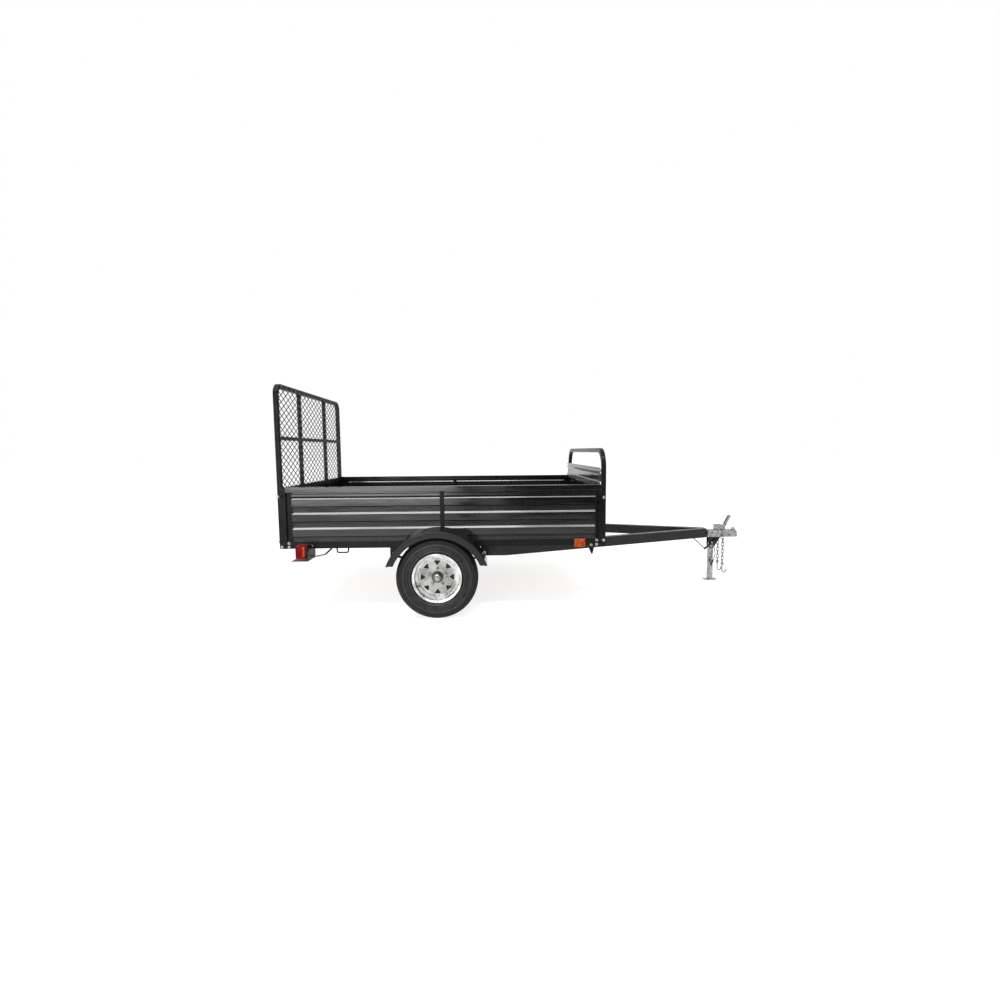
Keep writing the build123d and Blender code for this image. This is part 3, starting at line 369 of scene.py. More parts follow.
def other_side(mesh):
    """Mirrors a whole mesh from the trailer's left to its right."""
    bmesh.ops.scale(mesh, vec=(1, -1, 1), verts=mesh.verts[:])


sharp_from = math.radians(35)
side_ways = (("left", 1), ("right", -1))
frame_side = 0.7705
plate_side = 0.7745
frame_bolt = 0.018
# x, y and z of the bolts that hold plates to the frame, and of those of the front braces
frame_bolts = ((-1.737, frame_side, 0.489), (-1.737, frame_side, 0.463), (-1.785, plate_side, 0.463),
               (-1.580, frame_side, 0.472), (0.429, plate_side, 0.489), (0.429, plate_side, 0.458),
               (0.479, plate_side, 0.488), (0.479, plate_side, 0.792), (0.392, plate_side, 0.455))
for side, way in side_ways:
    bolts = bmesh.new()
    for x, y, z in frame_bolts:
        hex_bolt(bolts, (x, y, z), (0, 1, 0), frame_bolt)
    if way < 0:
        other_side(bolts)
    piece(f"frame_bolts_{side}", bolts, zinc, "chassis", "zinc_steel")

# A small black clip hangs on a stem from the foot of each corner gusset.
clip_spot = (0.391, plate_side + 0.003, 0.442)
clip_lean = (0.05, 0.05, -1)
stem = 0.0022
clip_layers = ((stem, stem, 0.02, 10), (stem, 0.0052, 0.004, 10), (0.0052, 0.0046, 0.014, 10),
               (0.0046, 0.002, 0.003, 10))
for side, way in side_ways:
    clip = bmesh.new()
    stack(clip, placed(clip_spot, clip_lean), clip_layers)
    if way < 0:
        other_side(clip)
    piece(f"gusset_clip_{side}", clip, coat_black, "chassis", "frame_black")

# ---------------------------------------------------------------- walls
# Sheet steel rolled into long ribs and beads and coated gloss black, let in behind the posts'
# folded edges under a square top rail.
panel_gloss = Finish("panel_gloss", (0.004, 0.004, 0.0043), gloss=0.5)
panel_gloss.mottle(0.05, (0.012, 0.0115, 0.0105), stretch=(9, 9, 1))
panel_gloss.sheen(0.03, 0.08, 0.2, stretch=(14, 14, 1))
panel_gloss.soft_edges(0.002)
panel_gloss.relief(panel_gloss.grain(0.06, stretch=(5, 5, 1)), 0.0007)
finish_nodes(panel_gloss, *both("side_panel_rear", "side_panel_front"))


def block(mesh, low, high):
    """A sharp block between two corners, and its points."""
    low, high = Vector(low), Vector(high)
    return bmesh.ops.create_cube(mesh, size=1, matrix=Matrix.Translation((low + high) / 2)
                                 @ Matrix.Diagonal((*(high - low), 1)))["verts"]


# A narrow plate closes the end of each sheet against the set-back strip of its post.
end_plate = 0.0015
end_inner = 0.7527
end_outer = 0.7698
for side, way in side_ways:
    rear_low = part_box(f"side_panel_rear_{side}")[0]
    front_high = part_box(f"side_panel_front_{side}")[1]
    ends = bmesh.new()
    for x in (rear_low.x, front_high.x - end_plate):
        block(ends, (x, end_inner, rear_low.z), (x + end_plate, end_outer, front_high.z))
    if way < 0:
        other_side(ends)
    piece(f"panel_ends_{side}", ends, panel_gloss, "chassis", "panel_black")

# Inside, under the top rail, each sheet's edge is folded out into a sloping lip: y and z of its
# three corners, and where it starts and ends along each sheet.
lip_section = ((0.7590, 0.8440), (0.7503, 0.8265), (0.7590, 0.8265))
lip_ends = ((-1.707, -0.677), (-0.646, 0.418))
for side, way in side_ways:
    lip = bmesh.new()
    for start, end in lip_ends:
        face = lip.faces.new([lip.verts.new((start, y, z)) for y, z in lip_section])
        pulled = bmesh.ops.extrude_face_region(lip, geom=[face])["geom"]
        moved = [part for part in pulled if isinstance(part, bmesh.types.BMVert)]
        bmesh.ops.translate(lip, vec=(end - start, 0, 0), verts=moved)
    if way < 0:
        other_side(lip)
    piece(f"panel_lip_{side}", lip, panel_gloss, "chassis", "panel_black")

# ---------------------------------------------------------------- posts and top rails
# Folded steel corner posts and middle posts, welded to the frame and coated with it. A square
# tube in the walls' gloss black is welded along their tops.
finish_nodes(coat_black, *both("rear_post", "front_post"), "mid_posts")
finish_nodes(panel_gloss, *both("top_rail"))

# ---------------------------------------------------------------- deck
# Planed and treated pine boards laid lengthwise on the crossmembers, with two countersunk
# screws to a member in each board.
deck_pine = Finish("deck_pine", (0.46, 0.34, 0.2))
deck_pine.mottle(0.012, (0.3, 0.2, 0.11), stretch=(25, 1, 1), detail=6)
deck_pine.spangle(0.19, 0.35, (0.36, 0.27, 0.16))
deck_pine.sheen(0.02, 0.55, 0.8, stretch=(10, 1, 1))
deck_pine.soft_edges(0.002)
deck_pine.relief(deck_pine.grain(0.006, stretch=(30, 1, 1)), 0.0006)
finish_nodes(deck_pine, "deck_boards")
board_count = 8
board_gap = 0.005
deck_low, deck_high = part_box("deck_boards")
board_pitch = (deck_high.y - deck_low.y + board_gap) / board_count
screw_from_edge = 0.038
screw_from_end = 0.03
screw_head = 0.0045
screw_sunk = 0.0006
crossmember_lines = (-1.1913, -0.6505, -0.1098)
screws = bmesh.new()
for row in (deck_low.x + screw_from_end, *crossmember_lines, deck_high.x - screw_from_end):
    for board in range(board_count):
        for step in (screw_from_edge, board_pitch - board_gap - screw_from_edge):
            spot = (row, deck_low.y + board * board_pitch + step, deck_high.z - screw_sunk)
            stack(screws, placed(spot, (0, 0, 1)), ((screw_head, screw_head, 0.0008, 10),
                                                    (0.9 * screw_head, 0.6 * screw_head, 0.0005, 10)))
piece("deck_screws", screws, zinc, "chassis", "zinc_steel")

# ---------------------------------------------------------------- front wall and hoop
# The same ribbed steel sheet in gloss black, fixed between the corner posts, and a square
# steel tube bent into a hoop over it, welded to the posts and coated with them.
finish_nodes(panel_gloss, "front_panel")
finish_nodes(coat_black, "front_hoop")

# ---------------------------------------------------------------- ramp gate
# A bent square tube with cross bars and uprights welded in, coated black. It turns on two pins
# at its foot, and two plated spring bolts hold it upright.
gate_black = Finish("gate_black", (0.0035, 0.0035, 0.0035), gloss=0.15)
gate_black.mottle(0.1, (0.008, 0.0078, 0.0074))
gate_black.sheen(0.03, 0.32, 0.5)
gate_black.soft_edges(0.0015)
gate_black.relief(gate_black.grain(0.0012), 0.0001)
finish_nodes(gate_black, "gate_frame")
finish_nodes(zinc, "gate_latches")

# Expanded steel sheet, slit and drawn into diamonds, welded to the gate's front face and
# trimmed to its square foot and its rounded top corners.
diamond_long = 0.088
diamond_short = 0.048
strand_width = 0.0052
strand_thickness = 0.003
diamond_count = 42
corner_radius = 0.067
corner_cuts = 6
mesh_low, mesh_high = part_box("gate_mesh")
mesh_middle = (mesh_low + mesh_high) / 2
half_wide = (mesh_high.y - mesh_low.y) / 2
half_tall = (mesh_high.z - mesh_low.z) / 2
expanded = bmesh.new()
bmesh.ops.create_grid(expanded, x_segments=diamond_count, y_segments=diamond_count, size=0.5)
across_grid = diamond_count / math.sqrt(2)
diamonds = Matrix.Diagonal((across_grid * diamond_long, across_grid * diamond_short, 1, 1))
upright = Matrix(((0, 0, 1, mesh_low.x), (1, 0, 0, mesh_middle.y), (0, 1, 0, mesh_middle.z), (0, 0, 0, 1)))
bmesh.ops.transform(expanded, matrix=upright @ diamonds @ Matrix.Rotation(math.pi / 4, 4, "Z"),
                    verts=expanded.verts[:])


def trim(mesh, spot, facing):
    """Cuts away what lies in front of a plane through a spot."""
    bmesh.ops.bisect_plane(mesh, geom=mesh.verts[:] + mesh.edges[:] + mesh.faces[:], plane_co=spot,
                           plane_no=facing, clear_outer=True)


for across, up in ((1, 0), (-1, 0), (0, 1), (0, -1)):
    trim(expanded, mesh_middle + Vector((0, across * half_wide, up * half_tall)), (0, across, up))
for across in (1, -1):
    bend = mesh_middle + Vector((0, across * (half_wide - corner_radius), half_tall - corner_radius))
    for step in range(1, corner_cuts):
        turn = step * math.pi / 2 / corner_cuts
        facing = Vector((0, across * math.cos(turn), math.sin(turn)))
        trim(expanded, bend + corner_radius * facing, facing)
diamond_area = diamond_long * diamond_short / 2
least_open = 0.3                # a diamond cut to less than this share is left solid
whole = [face for face in expanded.faces if face.calc_area() > least_open * diamond_area]
bmesh.ops.inset_individual(expanded, faces=whole, thickness=strand_width / 2, use_even_offset=True)
bmesh.ops.delete(expanded, geom=whole, context="FACES_ONLY")
bmesh.ops.recalc_face_normals(expanded, faces=expanded.faces[:])
bmesh.ops.solidify(expanded, geom=expanded.faces[:], thickness=strand_thickness)
for vert in expanded.verts:
    vert.co.x = min(max(vert.co.x, mesh_low.x), mesh_high.x)
piece("expanded_mesh", expanded, gate_black, "gate", "gate_black", "gate_mesh")

# A dark coated sheet closes the gate's lowest bay, behind the bars, so that the mesh shows dark there:
# painted shade.
shade_sheet_low = (-1.8030, -0.733, 0.500)
shade_sheet_high = (-1.8005, 0.733, 0.877)
# Painted shade: a dark sheet put where the gate shows only shade through its mesh.
sheet = bmesh.new()
block(sheet, shade_sheet_low, shade_sheet_high)
piece("gate_shade_sheet", sheet, gate_black, "gate", "gate_black")

# ---------------------------------------------------------------- axle and springs
# A square axle under two packs of leaf springs, black and oiled. U-bolts go round the axle's
# plates, and a bolt goes through each end of a spring.
spring_black = Finish("spring_black", (0.009, 0.009, 0.009), gloss=0.35)
spring_black.mottle(0.02, (0.03, 0.024, 0.02))
spring_black.sheen(0.015, 0.35, 0.6)
spring_black.soft_edges(0.001)
finish_nodes(spring_black, *both("leaf_spring"), "axle")
axle_x = -0.686
axle_z = 0.277
spring_y = 0.7455
eye_z = 0.407
eye_x = 0.32
eye_face = 0.0278
plate_low = 0.2465
ubolt_x = 0.032
ubolt_y = 0.0285
for side, way in side_ways:
    bolts = bmesh.new()
    for x in (-ubolt_x, ubolt_x):
        for y in (-ubolt_y, ubolt_y):
            stack(bolts, placed((axle_x + x, spring_y + y, plate_low), (0, 0, -1)),
                  ((0.0095, 0.0095, 0.0085, 6), (0.0085, 0.0075, 0.001, 6)))
    for x in (-eye_x, eye_x):
        hex_bolt(bolts, (axle_x + x, spring_y + eye_face, eye_z), (0, 1, 0), frame_bolt)
        nut_and_stud(bolts, (axle_x + x, spring_y - eye_face, eye_z), (0, -1, 0), frame_bolt)
    if way < 0:
        other_side(bolts)
    piece(f"spring_bolts_{side}", bolts, zinc, "chassis", "zinc_steel")

# ---------------------------------------------------------------- wheels
# Pressed steel wheels, hot-dip galvanised to a spangle, on turned hubs with a dust cap. Five
# plated nuts hold each, and a rubber valve stands in the rim.
rim_galvanised = Finish("rim_galvanised", (0.2, 0.2, 0.198), metallic=1.0)
rim_galvanised.mottle(0.07, (0.68, 0.68, 0.675))
rim_galvanised.spangle(0.011, 0.4, (0.8, 0.8, 0.79))
rim_galvanised.polish(rim_galvanised.spread(rim_galvanised.cells(0.009), 0.2, 0.42, start=0, end=1))
rim_galvanised.soft_edges(0.0025)


def from_axle(finish):
    """How far a spot is from the axle's line, and how far from the trailer's middle."""
    spaced = finish.add("ShaderNodeMapping", [("Vector", finish.place)])
    spaced.inputs["Location"].default_value = (-axle_x, 0, -axle_z)
    spaced.inputs["Scale"].default_value = (1, 0, 1)
    away = finish.add("ShaderNodeVectorMath", [(0, spaced.outputs["Vector"])], operation="LENGTH")
    unsigned = finish.add("ShaderNodeVectorMath", [(0, finish.place)], operation="ABSOLUTE")
    parts = finish.add("ShaderNodeSeparateXYZ", [("Vector", unsigned.outputs["Vector"])])
    return away.outputs["Value"], parts.outputs["Y"]


# The disc is duller than the flange, and a painted shade darkens it in a ring round the cap. The inside of
# the wheel, behind its middle plane, is dark with brake dust and painted shade.
wheel_y = 0.934
disc_edge = 0.11
flange_foot = 0.135
# Where the painted shade round the cap is full and where it ends, and how fast the dust and painted shade
# inside the wheel fade in.
hub_shade_ring = 0.038
hub_shade_end = 0.045
dust_and_shade_fade = 0.003
from_line, from_middle = from_axle(rim_galvanised)
rim_galvanised.tint(rim_galvanised.spread(from_line, 0.6, 0, start=disc_edge, end=flange_foot),
                    (0.12, 0.12, 0.118))
# Painted shade: the rim darkened in a ring round the hub's cap.
rim_galvanised.tint(rim_galvanised.spread(from_line, 0.85, 0, start=hub_shade_ring, end=hub_shade_end),
                    (0.02, 0.02, 0.02))
# Brake dust and painted shade: the rim darkened behind the wheel's middle plane.
rim_galvanised.tint(rim_galvanised.spread(from_middle, 0.97, 0, start=wheel_y - dust_and_shade_fade, end=wheel_y),
                    (0.012, 0.012, 0.012))
finish_nodes(rim_galvanised, *both("rim"))
hub_grey = Finish("hub_grey", (0.14, 0.14, 0.135), metallic=1.0)
hub_grey.mottle(0.01, (0.36, 0.355, 0.34))
hub_grey.sheen(0.02, 0.3, 0.5)
hub_grey.soft_edges(0.0015)
finish_nodes(hub_grey, *both("hub"))


def turned(mesh, section, steps):
    """A closed section of (y, radius) spots spun about the axle's line."""
    ring = [mesh.verts.new((axle_x, y, axle_z + radius)) for y, radius in section]
    edges = [mesh.edges.new(pair) for pair in zip(ring, ring[1:] + ring[:1])]
    bmesh.ops.spin(mesh, geom=ring + edges, axis=(0, 1, 0), cent=(axle_x, wheel_y, axle_z),
                   angle=2 * math.pi, steps=steps, use_merge=True)


# Cone-seated nuts on their studs, and a thin dark disc behind the windows of the disc that darkens them:
# painted shade.
disc_face = 0.939
nut_circle = 0.057
nut_count = 5
nut_size = 0.0225
half_nut = 0.5 * nut_size
nut_layers = ((0.4 * nut_size, half_nut, 0.003, 24), (half_nut, half_nut, 0.012, 6),
              (half_nut, 0.36 * nut_size, 0.002, 6), (0.006, 0.0052, 0.004, 14))
# A dark disc put behind the wheel's windows, where there is only shade: painted shade.
shade_disc_radius = 0.125
shade_disc_bore = 0.04
shade_disc_back = 0.014
shade_disc_thick = 0.0015
shade_disc_steps = 64
shade_disc_front = wheel_y - shade_disc_back
shade_disc_rear = shade_disc_front - shade_disc_thick
for side, way in side_ways:
    nuts = bmesh.new()
    for index in range(nut_count):
        turn = 2 * math.pi * (index + 0.25) / nut_count
        spot = (axle_x + nut_circle * math.cos(turn), disc_face, axle_z + nut_circle * math.sin(turn))
        stack(nuts, placed(spot, (0, 1, 0)), nut_layers)
    shade_disc_mesh = bmesh.new()
    turned(shade_disc_mesh, ((shade_disc_front, shade_disc_bore), (shade_disc_front, shade_disc_radius),
                    (shade_disc_rear, shade_disc_radius), (shade_disc_rear, shade_disc_bore)), shade_disc_steps)
    if way < 0:
        other_side(nuts)
        other_side(shade_disc_mesh)
    # The painted-shade disc rides with the wheel.
    piece(f"painted_shade_disc_{side}", shade_disc_mesh, spring_black, f"{side}_wheel", "spring_steel")
    piece(f"wheel_nuts_{side}", nuts, zinc, f"{side}_wheel", "zinc_steel")

# ---------------------------------------------------------------- tyres
# Black rubber trailer tyres: smooth ringed sides, a row of lugs round each shoulder, and four
# grooves round the tread with a short cut across every rib.
tyre_rubber = Finish("tyre_rubber", (0.007, 0.007, 0.007), gloss=0.22)
tyre_rubber.mottle(0.06, (0.024, 0.023, 0.022))
tyre_rubber.sheen(0.02, 0.3, 0.52)
from_line = from_axle(tyre_rubber)[0]
half_ring = 0.0095
ring_height = 0.003
rings = tyre_rubber.add("ShaderNodeMath", [(0, from_line)], operation="PINGPONG")
rings.inputs[1].default_value = half_ring
tyre_rubber.relief(tyre_rubber.spread(rings.outputs["Value"], 0, 1, start=0, end=half_ring), ring_height)
# The shoulders, outside the ring that stands round the side, are darkened: painted shade.
side_end = 0.226
shoulder_start = 0.232
# Painted shade: the shoulders darkened by their distance from the axle.
tyre_rubber.tint(tyre_rubber.spread(from_line, 0, 0.75, start=side_end, end=shoulder_start),
                 (0.004, 0.004, 0.004))
# A painted highlight lightens the two rings that stand proudest: each ring's radius, half its width,
# and how strong its painted highlight is.
ring_highlight_colour = (0.13, 0.128, 0.122)
for ring_radius, ring_half, highlight_share in ((0.2285, 0.0035, 0.35), (0.183, 0.005, 0.2)):
    off = tyre_rubber.add("ShaderNodeMath", [(0, from_line)], operation="SUBTRACT")
    off.inputs[1].default_value = ring_radius
    away = tyre_rubber.add("ShaderNodeMath", [(0, off.outputs["Value"])], operation="ABSOLUTE")
    # Painted highlight: the ring lightened.
    tyre_rubber.tint(tyre_rubber.spread(away.outputs["Value"], highlight_share, 0, start=ring_half / 2, end=ring_half),
                     ring_highlight_colour)
tyre_rubber.relief(tyre_rubber.grain(0.0016), 0.00015)
finish_nodes(tyre_rubber, *both("tyre"))
# Half of the section from the bead out to the middle of the tread: millimetres out from the
# wheel's middle plane, and the radius there.
tyre_section = ((46.5, 155.4), (49.5, 168.6), (54, 171.5), (57.5, 176), (59.6, 182), (61.6, 183.4),
                (61.9, 186.6), (60.9, 188.4), (62.0, 198), (62.2, 206), (62.8, 222), (64.6, 226),
                (64.6, 229.5), (61.3, 233), (60.6, 244), (59.4, 252), (57.2, 259), (54.3, 265.5),
                (50, 270.5), (44.5, 273.6), (33.2, 275.8), (32.2, 269.6), (28.2, 269.8), (27.2, 276.3),
                (12.4, 276.9), (11.4, 270.6), (7.4, 270.6), (6.4, 277))
tread_steps = 216
lug_steps = 2                   # a cut and a lug take this many steps
lug_inner = 0.034
lug_outer = 0.0605
lug_radius = 0.248
lug_wall = 0.0006
lug_depth = 0.0045
rib_outer = 0.032
rib_radius = 0.276
cut_wall = 0.0028
cut_depth = 0.004
for side, way in side_ways:
    tyre = bmesh.new()
    rows = list(tyre_section) + [(-out, radius) for out, radius in reversed(tyre_section)]
    turned(tyre, [(wheel_y + out / 1000, radius / 1000) for out, radius in rows], tread_steps)
    bmesh.ops.recalc_face_normals(tyre, faces=tyre.faces[:])
    slots = []
    sipes = []
    for face in tyre.faces:
        middle = face.calc_center_median()
        out = middle.y - wheel_y
        radius = math.hypot(middle.x - axle_x, middle.z - axle_z)
        step = int((math.atan2(middle.z - axle_z, middle.x - axle_x) / (2 * math.pi) % 1) * tread_steps)
        first_cut = 0 if out > 0 else 1
        if lug_inner < abs(out) < lug_outer and radius > lug_radius and step % lug_steps == first_cut:
            slots.append(face)
        if abs(out) < rib_outer and radius > rib_radius and step % lug_steps == 0:
            sipes.append(face)
    bmesh.ops.inset_region(tyre, faces=slots, thickness=lug_wall, depth=-lug_depth, use_even_offset=True)
    bmesh.ops.inset_region(tyre, faces=sipes, thickness=cut_wall, depth=-cut_depth, use_even_offset=True)
    if way < 0:
        other_side(tyre)
    piece(f"treaded_tyre_{side}", tyre, tyre_rubber, f"{side}_wheel", "tyre_rubber", f"tyre_{side}")

# A rubber valve with a plastic cap stands out of each rim, just inside its outer flange.
valve_radius = 0.137
valve_turn = math.radians(205)
valve_foot = wheel_y + 0.019
valve_spot = (axle_x + valve_radius * math.cos(valve_turn), valve_foot,
              axle_z + valve_radius * math.sin(valve_turn))
valve_lean = (0.2, 1, 0.1)
valve_layers = ((0.0075, 0.006, 0.005, 16), (0.0045, 0.004, 0.02, 16), (0.005, 0.0046, 0.009, 12))
for side, way in side_ways:
    valve = bmesh.new()
    stack(valve, placed(valve_spot, valve_lean), valve_layers)
    if way < 0:
        other_side(valve)
    piece(f"valve_{side}", valve, lead_sheath, f"{side}_wheel", "lead_black")

# ---------------------------------------------------------------- fenders
# Rolled sheet arches with a deep outer lip and a rolled edge, coated black and bolted to two
# angle braces each.
fender_black = Finish("fender_black", (0.003, 0.003, 0.0034), gloss=0.3)
fender_black.mottle(0.08, (0.007, 0.0068, 0.0065))
fender_black.sheen(0.03, 0.12, 0.24)
fender_black.soft_edges(0.012)
finish_nodes(fender_black, *both("fender"))
finish_nodes(coat_black, *both("fender_braces"))
brace_x = 0.215
brace_z = 0.235
fender_radius = 0.361
fender_bolt = 0.014
fender_bolt_lines = (0.83, 0.95)
for side, way in side_ways:
    bolts = bmesh.new()
    for x in (-brace_x, brace_x):
        lean = math.asin(x / fender_radius)
        for y in fender_bolt_lines:
            spot = (axle_x + x, y, brace_z + fender_radius * math.cos(lean))
            hex_bolt(bolts, spot, (math.sin(lean), 0, math.cos(lean)), fender_bolt)
    if way < 0:
        other_side(bolts)
    piece(f"fender_bolts_{side}", bolts, coat_black, "chassis", "frame_black")

# ---------------------------------------------------------------- tongue
# Two rectangular steel tubes welded in a V under the bed frame, with a square head for the
# coupler where they meet, all coated black.
tongue_black = Finish("tongue_black", (0.0055, 0.005, 0.0046), gloss=0.28)
tongue_black.mottle(0.09, (0.013, 0.0118, 0.0105))
tongue_black.sheen(0.03, 0.26, 0.42)
tongue_black.soft_edges(0.0018)
tongue_black.relief(tongue_black.grain(0.0012), 0.0001)
finish_nodes(tongue_black, *both("tongue_rail"), "tongue_head")

# ---------------------------------------------------------------- coupler
# A pressed ball coupler, bright zinc plated, bolted through the head of the tongue. Its raised
# lever turns on a pin and clamps the ball; a flanged bolt holds each safety chain's eye.
finish_nodes(zinc, "coupler_body", "coupler_latch")
sleeve_side = 0.039
coupler_bolt = 0.024
coupler_bolt_lines = (1.549, 1.640)
coupler_bolt_z = 0.413
chain_bolt = (1.672, sleeve_side, 0.412)
chain_bolt_layers = ((0.017, 0.017, 0.003, 28), (0.012, 0.011, 0.004, 24), (0.007, 0.0055, 0.004, 16))
lever_pin = (1.684, 0.012, 0.459)
lever_pin_layers = ((0.009, 0.009, 0.003, 20), (0.006, 0.005, 0.005, 16))
clamp_top = (1.770, 0, 0.439)
clamp_nut = 0.026
fittings = bmesh.new()
for x in coupler_bolt_lines:
    hex_bolt(fittings, (x, -sleeve_side, coupler_bolt_z), (0, -1, 0), coupler_bolt)
    nut_and_stud(fittings, (x, sleeve_side, coupler_bolt_z), (0, 1, 0), coupler_bolt)
for way in (1, -1):
    for (x, y, z), layers in ((chain_bolt, chain_bolt_layers), (lever_pin, lever_pin_layers)):
        stack(fittings, placed((x, way * y, z), (0, way, 0)), layers)
nut_and_stud(fittings, clamp_top, (0, 0, 1), clamp_nut)
piece("coupler_fittings", fittings, zinc, "chassis", "zinc_steel")

# ---------------------------------------------------------------- safety chains
# Plated links of round steel wire, each hung in the one before, with an open hook on the last.
# The first is bolted to the coupler.
finish_nodes(zinc, *both("safety_chain"))

# ---------------------------------------------------------------- stand
# A square leg on a foot plate, plated, which swings up between the two black cheeks of its
# bracket. A washer lies under each end of its pin.
finish_nodes(tongue_black, "stand_bracket")
finish_nodes(zinc, "stand_leg")
pivot_x = 1.578
pivot_z = 0.300
cheek_side = 0.026
stay_bolt_spot = (1.577, -0.041, 0.329)
stay_bolt = 0.016
washers = bmesh.new()
for way in (1, -1):
    stack(washers, placed((pivot_x, way * cheek_side, pivot_z), (0, way, 0)),
          ((0.0145, 0.0145, 0.0022, 28), (0.0095, 0.0085, 0.003, 20)))
hex_bolt(washers, stay_bolt_spot, (0, -1, 0), stay_bolt)
piece("stand_washers", washers, zinc, "chassis", "zinc_steel")

# ---------------------------------------------------------------- tail lamps
# A clear red moulding over a black housing: ribbed towards the rear, with a round reflector,
# and an amber strip at the front of its outer side.
red_lens = Finish("red_lens", (0.13, 0.003, 0.006), gloss=0.06)
red_lens.mottle(0.012, (0.35, 0.007, 0.012))
red_lens.sheen(0.01, 0.08, 0.2)
red_lens.relief(red_lens.grain(0.004, stretch=(1, 1, 3)), 0.0004)
amber_lens = Finish("amber_lens", (0.55, 0.06, 0.006), gloss=0.12)
amber_lens.mottle(0.012, (0.8, 0.17, 0.012))
amber_lens.spangle(0.01, 0.75, (0.2, 0.012, 0.004))
amber_lens.sheen(0.01, 0.1, 0.22)
amber_lens.relief(amber_lens.grain(0.003), 0.0003)


def moulding(mesh, low, high, round_off):
    """A block between two corners with its edges rounded off."""
    edges = list({edge for vert in block(mesh, low, high) for edge in vert.link_edges})
    bmesh.ops.bevel(mesh, geom=edges, offset=round_off, offset_type="OFFSET", segments=3, profile=0.5,
                    affect="EDGES", material=-1)


lens_low, lens_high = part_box("tail_lens_left")
lens_middle = (lens_low + lens_high) / 2
rear_rib_count = 7
rear_rib_pitch = 0.0107
rear_rib_half = 0.0025
rear_rib_inset = 0.014
first_rear_rib = lens_low.z + 0.017
side_rib_count = 5
side_rib_pitch = 0.0085
side_rib_half = 0.002
side_rib_inset = 0.012
first_side_rib = lens_low.x + 0.014
lens_slack = 0.002
strip_inset = 0.016
reflector = ((0.024, 0.024, 0.0018, 40), (0.021, 0.0195, 0.0010, 40))
for side, way in side_ways:
    lens = bmesh.new()
    moulding(lens, lens_low + Vector((2 * lens_slack, lens_slack, lens_slack)),
             lens_high - Vector((0, lens_slack, lens_slack)), 0.009)
    for row in range(rear_rib_count):
        z = first_rear_rib + rear_rib_pitch * row
        moulding(lens, (lens_low.x + lens_slack, lens_low.y + rear_rib_inset, z - rear_rib_half),
                 (lens_low.x + 0.006, lens_high.y - rear_rib_inset, z + rear_rib_half), 0.0012)
    for row in range(side_rib_count):
        x = first_side_rib + side_rib_pitch * row
        moulding(lens, (x - side_rib_half, lens_high.y - 0.003, lens_low.z + side_rib_inset),
                 (x + side_rib_half, lens_high.y - 0.0005, lens_high.z - side_rib_inset), 0.0009)
    stack(lens, placed((lens_low.x + 0.003, lens_middle.y, lens_middle.z), (-1, 0, 0)), reflector)
    strip = bmesh.new()
    moulding(strip, (lens_high.x - 0.017, lens_high.y - 0.004, lens_low.z + strip_inset),
             (lens_high.x - 0.004, lens_high.y - 0.0002, lens_high.z - strip_inset), 0.0015)
    for made in (lens, strip):
        if way < 0:
            other_side(made)
    piece(f"tail_moulding_{side}", lens, red_lens, "chassis", "red_lens", f"tail_lens_{side}")
    piece(f"lamp_strip_{side}", strip, amber_lens, "chassis", "amber_lens")

# ---------------------------------------------------------------- side markers
# A moulded amber lens with a raised ring and boss on a black plastic base, one on each side
# rail near its front end.
marker_low, marker_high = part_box("side_markers")
marker_middle = (marker_low + marker_high) / 2
base_thick = 0.005
lens_seat = 0.004
lens_face = 0.0115
lens_border = 0.004
ring_shift = 0.004
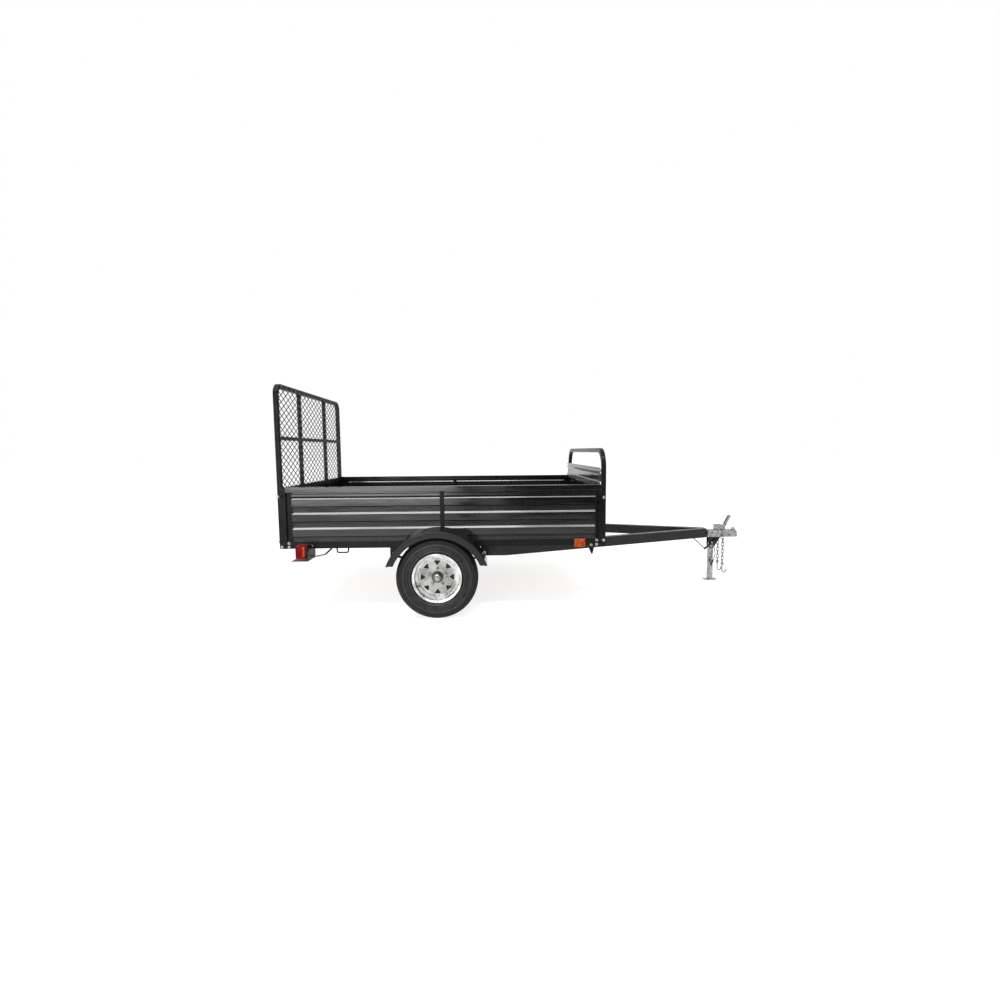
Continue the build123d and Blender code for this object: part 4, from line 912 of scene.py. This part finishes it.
# How far the raised round stands off the rail, and its layer: the ring, then the boss.
marker_rounds = ((0.0110, (0.021, 0.0195, 0.0016, 40)), (0.0120, (0.011, 0.009, 0.0019, 32)))
marker_base = bmesh.new()
markers = bmesh.new()
for way in (1, -1):
    inner, outer = sorted((way * frame_side, way * (frame_side + base_thick)))
    moulding(marker_base, (marker_low.x, inner, marker_low.z), (marker_high.x, outer, marker_high.z), 0.0022)
    inner, outer = sorted((way * (frame_side + lens_seat), way * (frame_side + lens_face)))
    moulding(markers, (marker_low.x + lens_border, inner, marker_low.z + lens_border),
             (marker_high.x - lens_border, outer, marker_high.z - lens_border), 0.0045)
    for off, layer in marker_rounds:
        spot = (marker_middle.x + ring_shift, way * (frame_side + off), marker_middle.z)
        stack(markers, placed(spot, (0, way, 0)), (layer,))
piece("marker_bases", marker_base, lead_sheath, "chassis", "lead_black")
piece("marker_lenses", markers, amber_lens, "chassis", "amber_lens", "side_markers")

# ---------------------------------------------------------------- lamp leads
# A black PVC lead from each lamp's bracket up to the rail. A pale crimped connector joins it on
# its way, and a ribbed loom covers its upper end.
finish_nodes(lead_sheath, "lamp_leads")
butt_sleeve = Finish("butt_sleeve", (0.36, 0.36, 0.33))
butt_sleeve.mottle(0.006, (0.52, 0.52, 0.48))
butt_sleeve.sheen(0.01, 0.25, 0.45)
leads_low, leads_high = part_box("lamp_leads")
lead_reach = 0.7355
lead_start = leads_low.x
lead_floor = leads_low.z + 0.006
sleeve_start = (lead_start + 0.011, lead_reach, lead_floor)
sleeve_run = Vector((0.058, 0, 0.011))
sleeve_radius = 0.0066
sleeve_mouth = 0.0050
mouth_length = 0.003
sleeve_layers = ((sleeve_mouth, sleeve_radius, mouth_length, 16),
                 (sleeve_radius, sleeve_radius, sleeve_run.length - 2 * mouth_length, 16),
                 (sleeve_radius, sleeve_mouth, mouth_length, 16))
loom_start = Vector((lead_start + 0.074, lead_reach, lead_floor + 0.0145))
loom_run = Vector((lead_start + 0.120, lead_reach, leads_high.z - 0.006)) - loom_start
loom_rib = ((0.0066, 0.0066, 0.0030, 14), (0.0058, 0.0058, 0.0015, 14))
rib_pitch = 0.0045
for side, way in side_ways:
    sleeve = bmesh.new()
    stack(sleeve, placed(sleeve_start, sleeve_run), sleeve_layers)
    loom = bmesh.new()
    stack(loom, placed(loom_start, loom_run), loom_rib * int(loom_run.length / rib_pitch))
    for made in (sleeve, loom):
        if way < 0:
            other_side(made)
    piece(f"lead_sleeve_{side}", sleeve, butt_sleeve, "chassis", "lead_black")
    piece(f"lead_loom_{side}", loom, lead_sheath, "chassis", "lead_black")
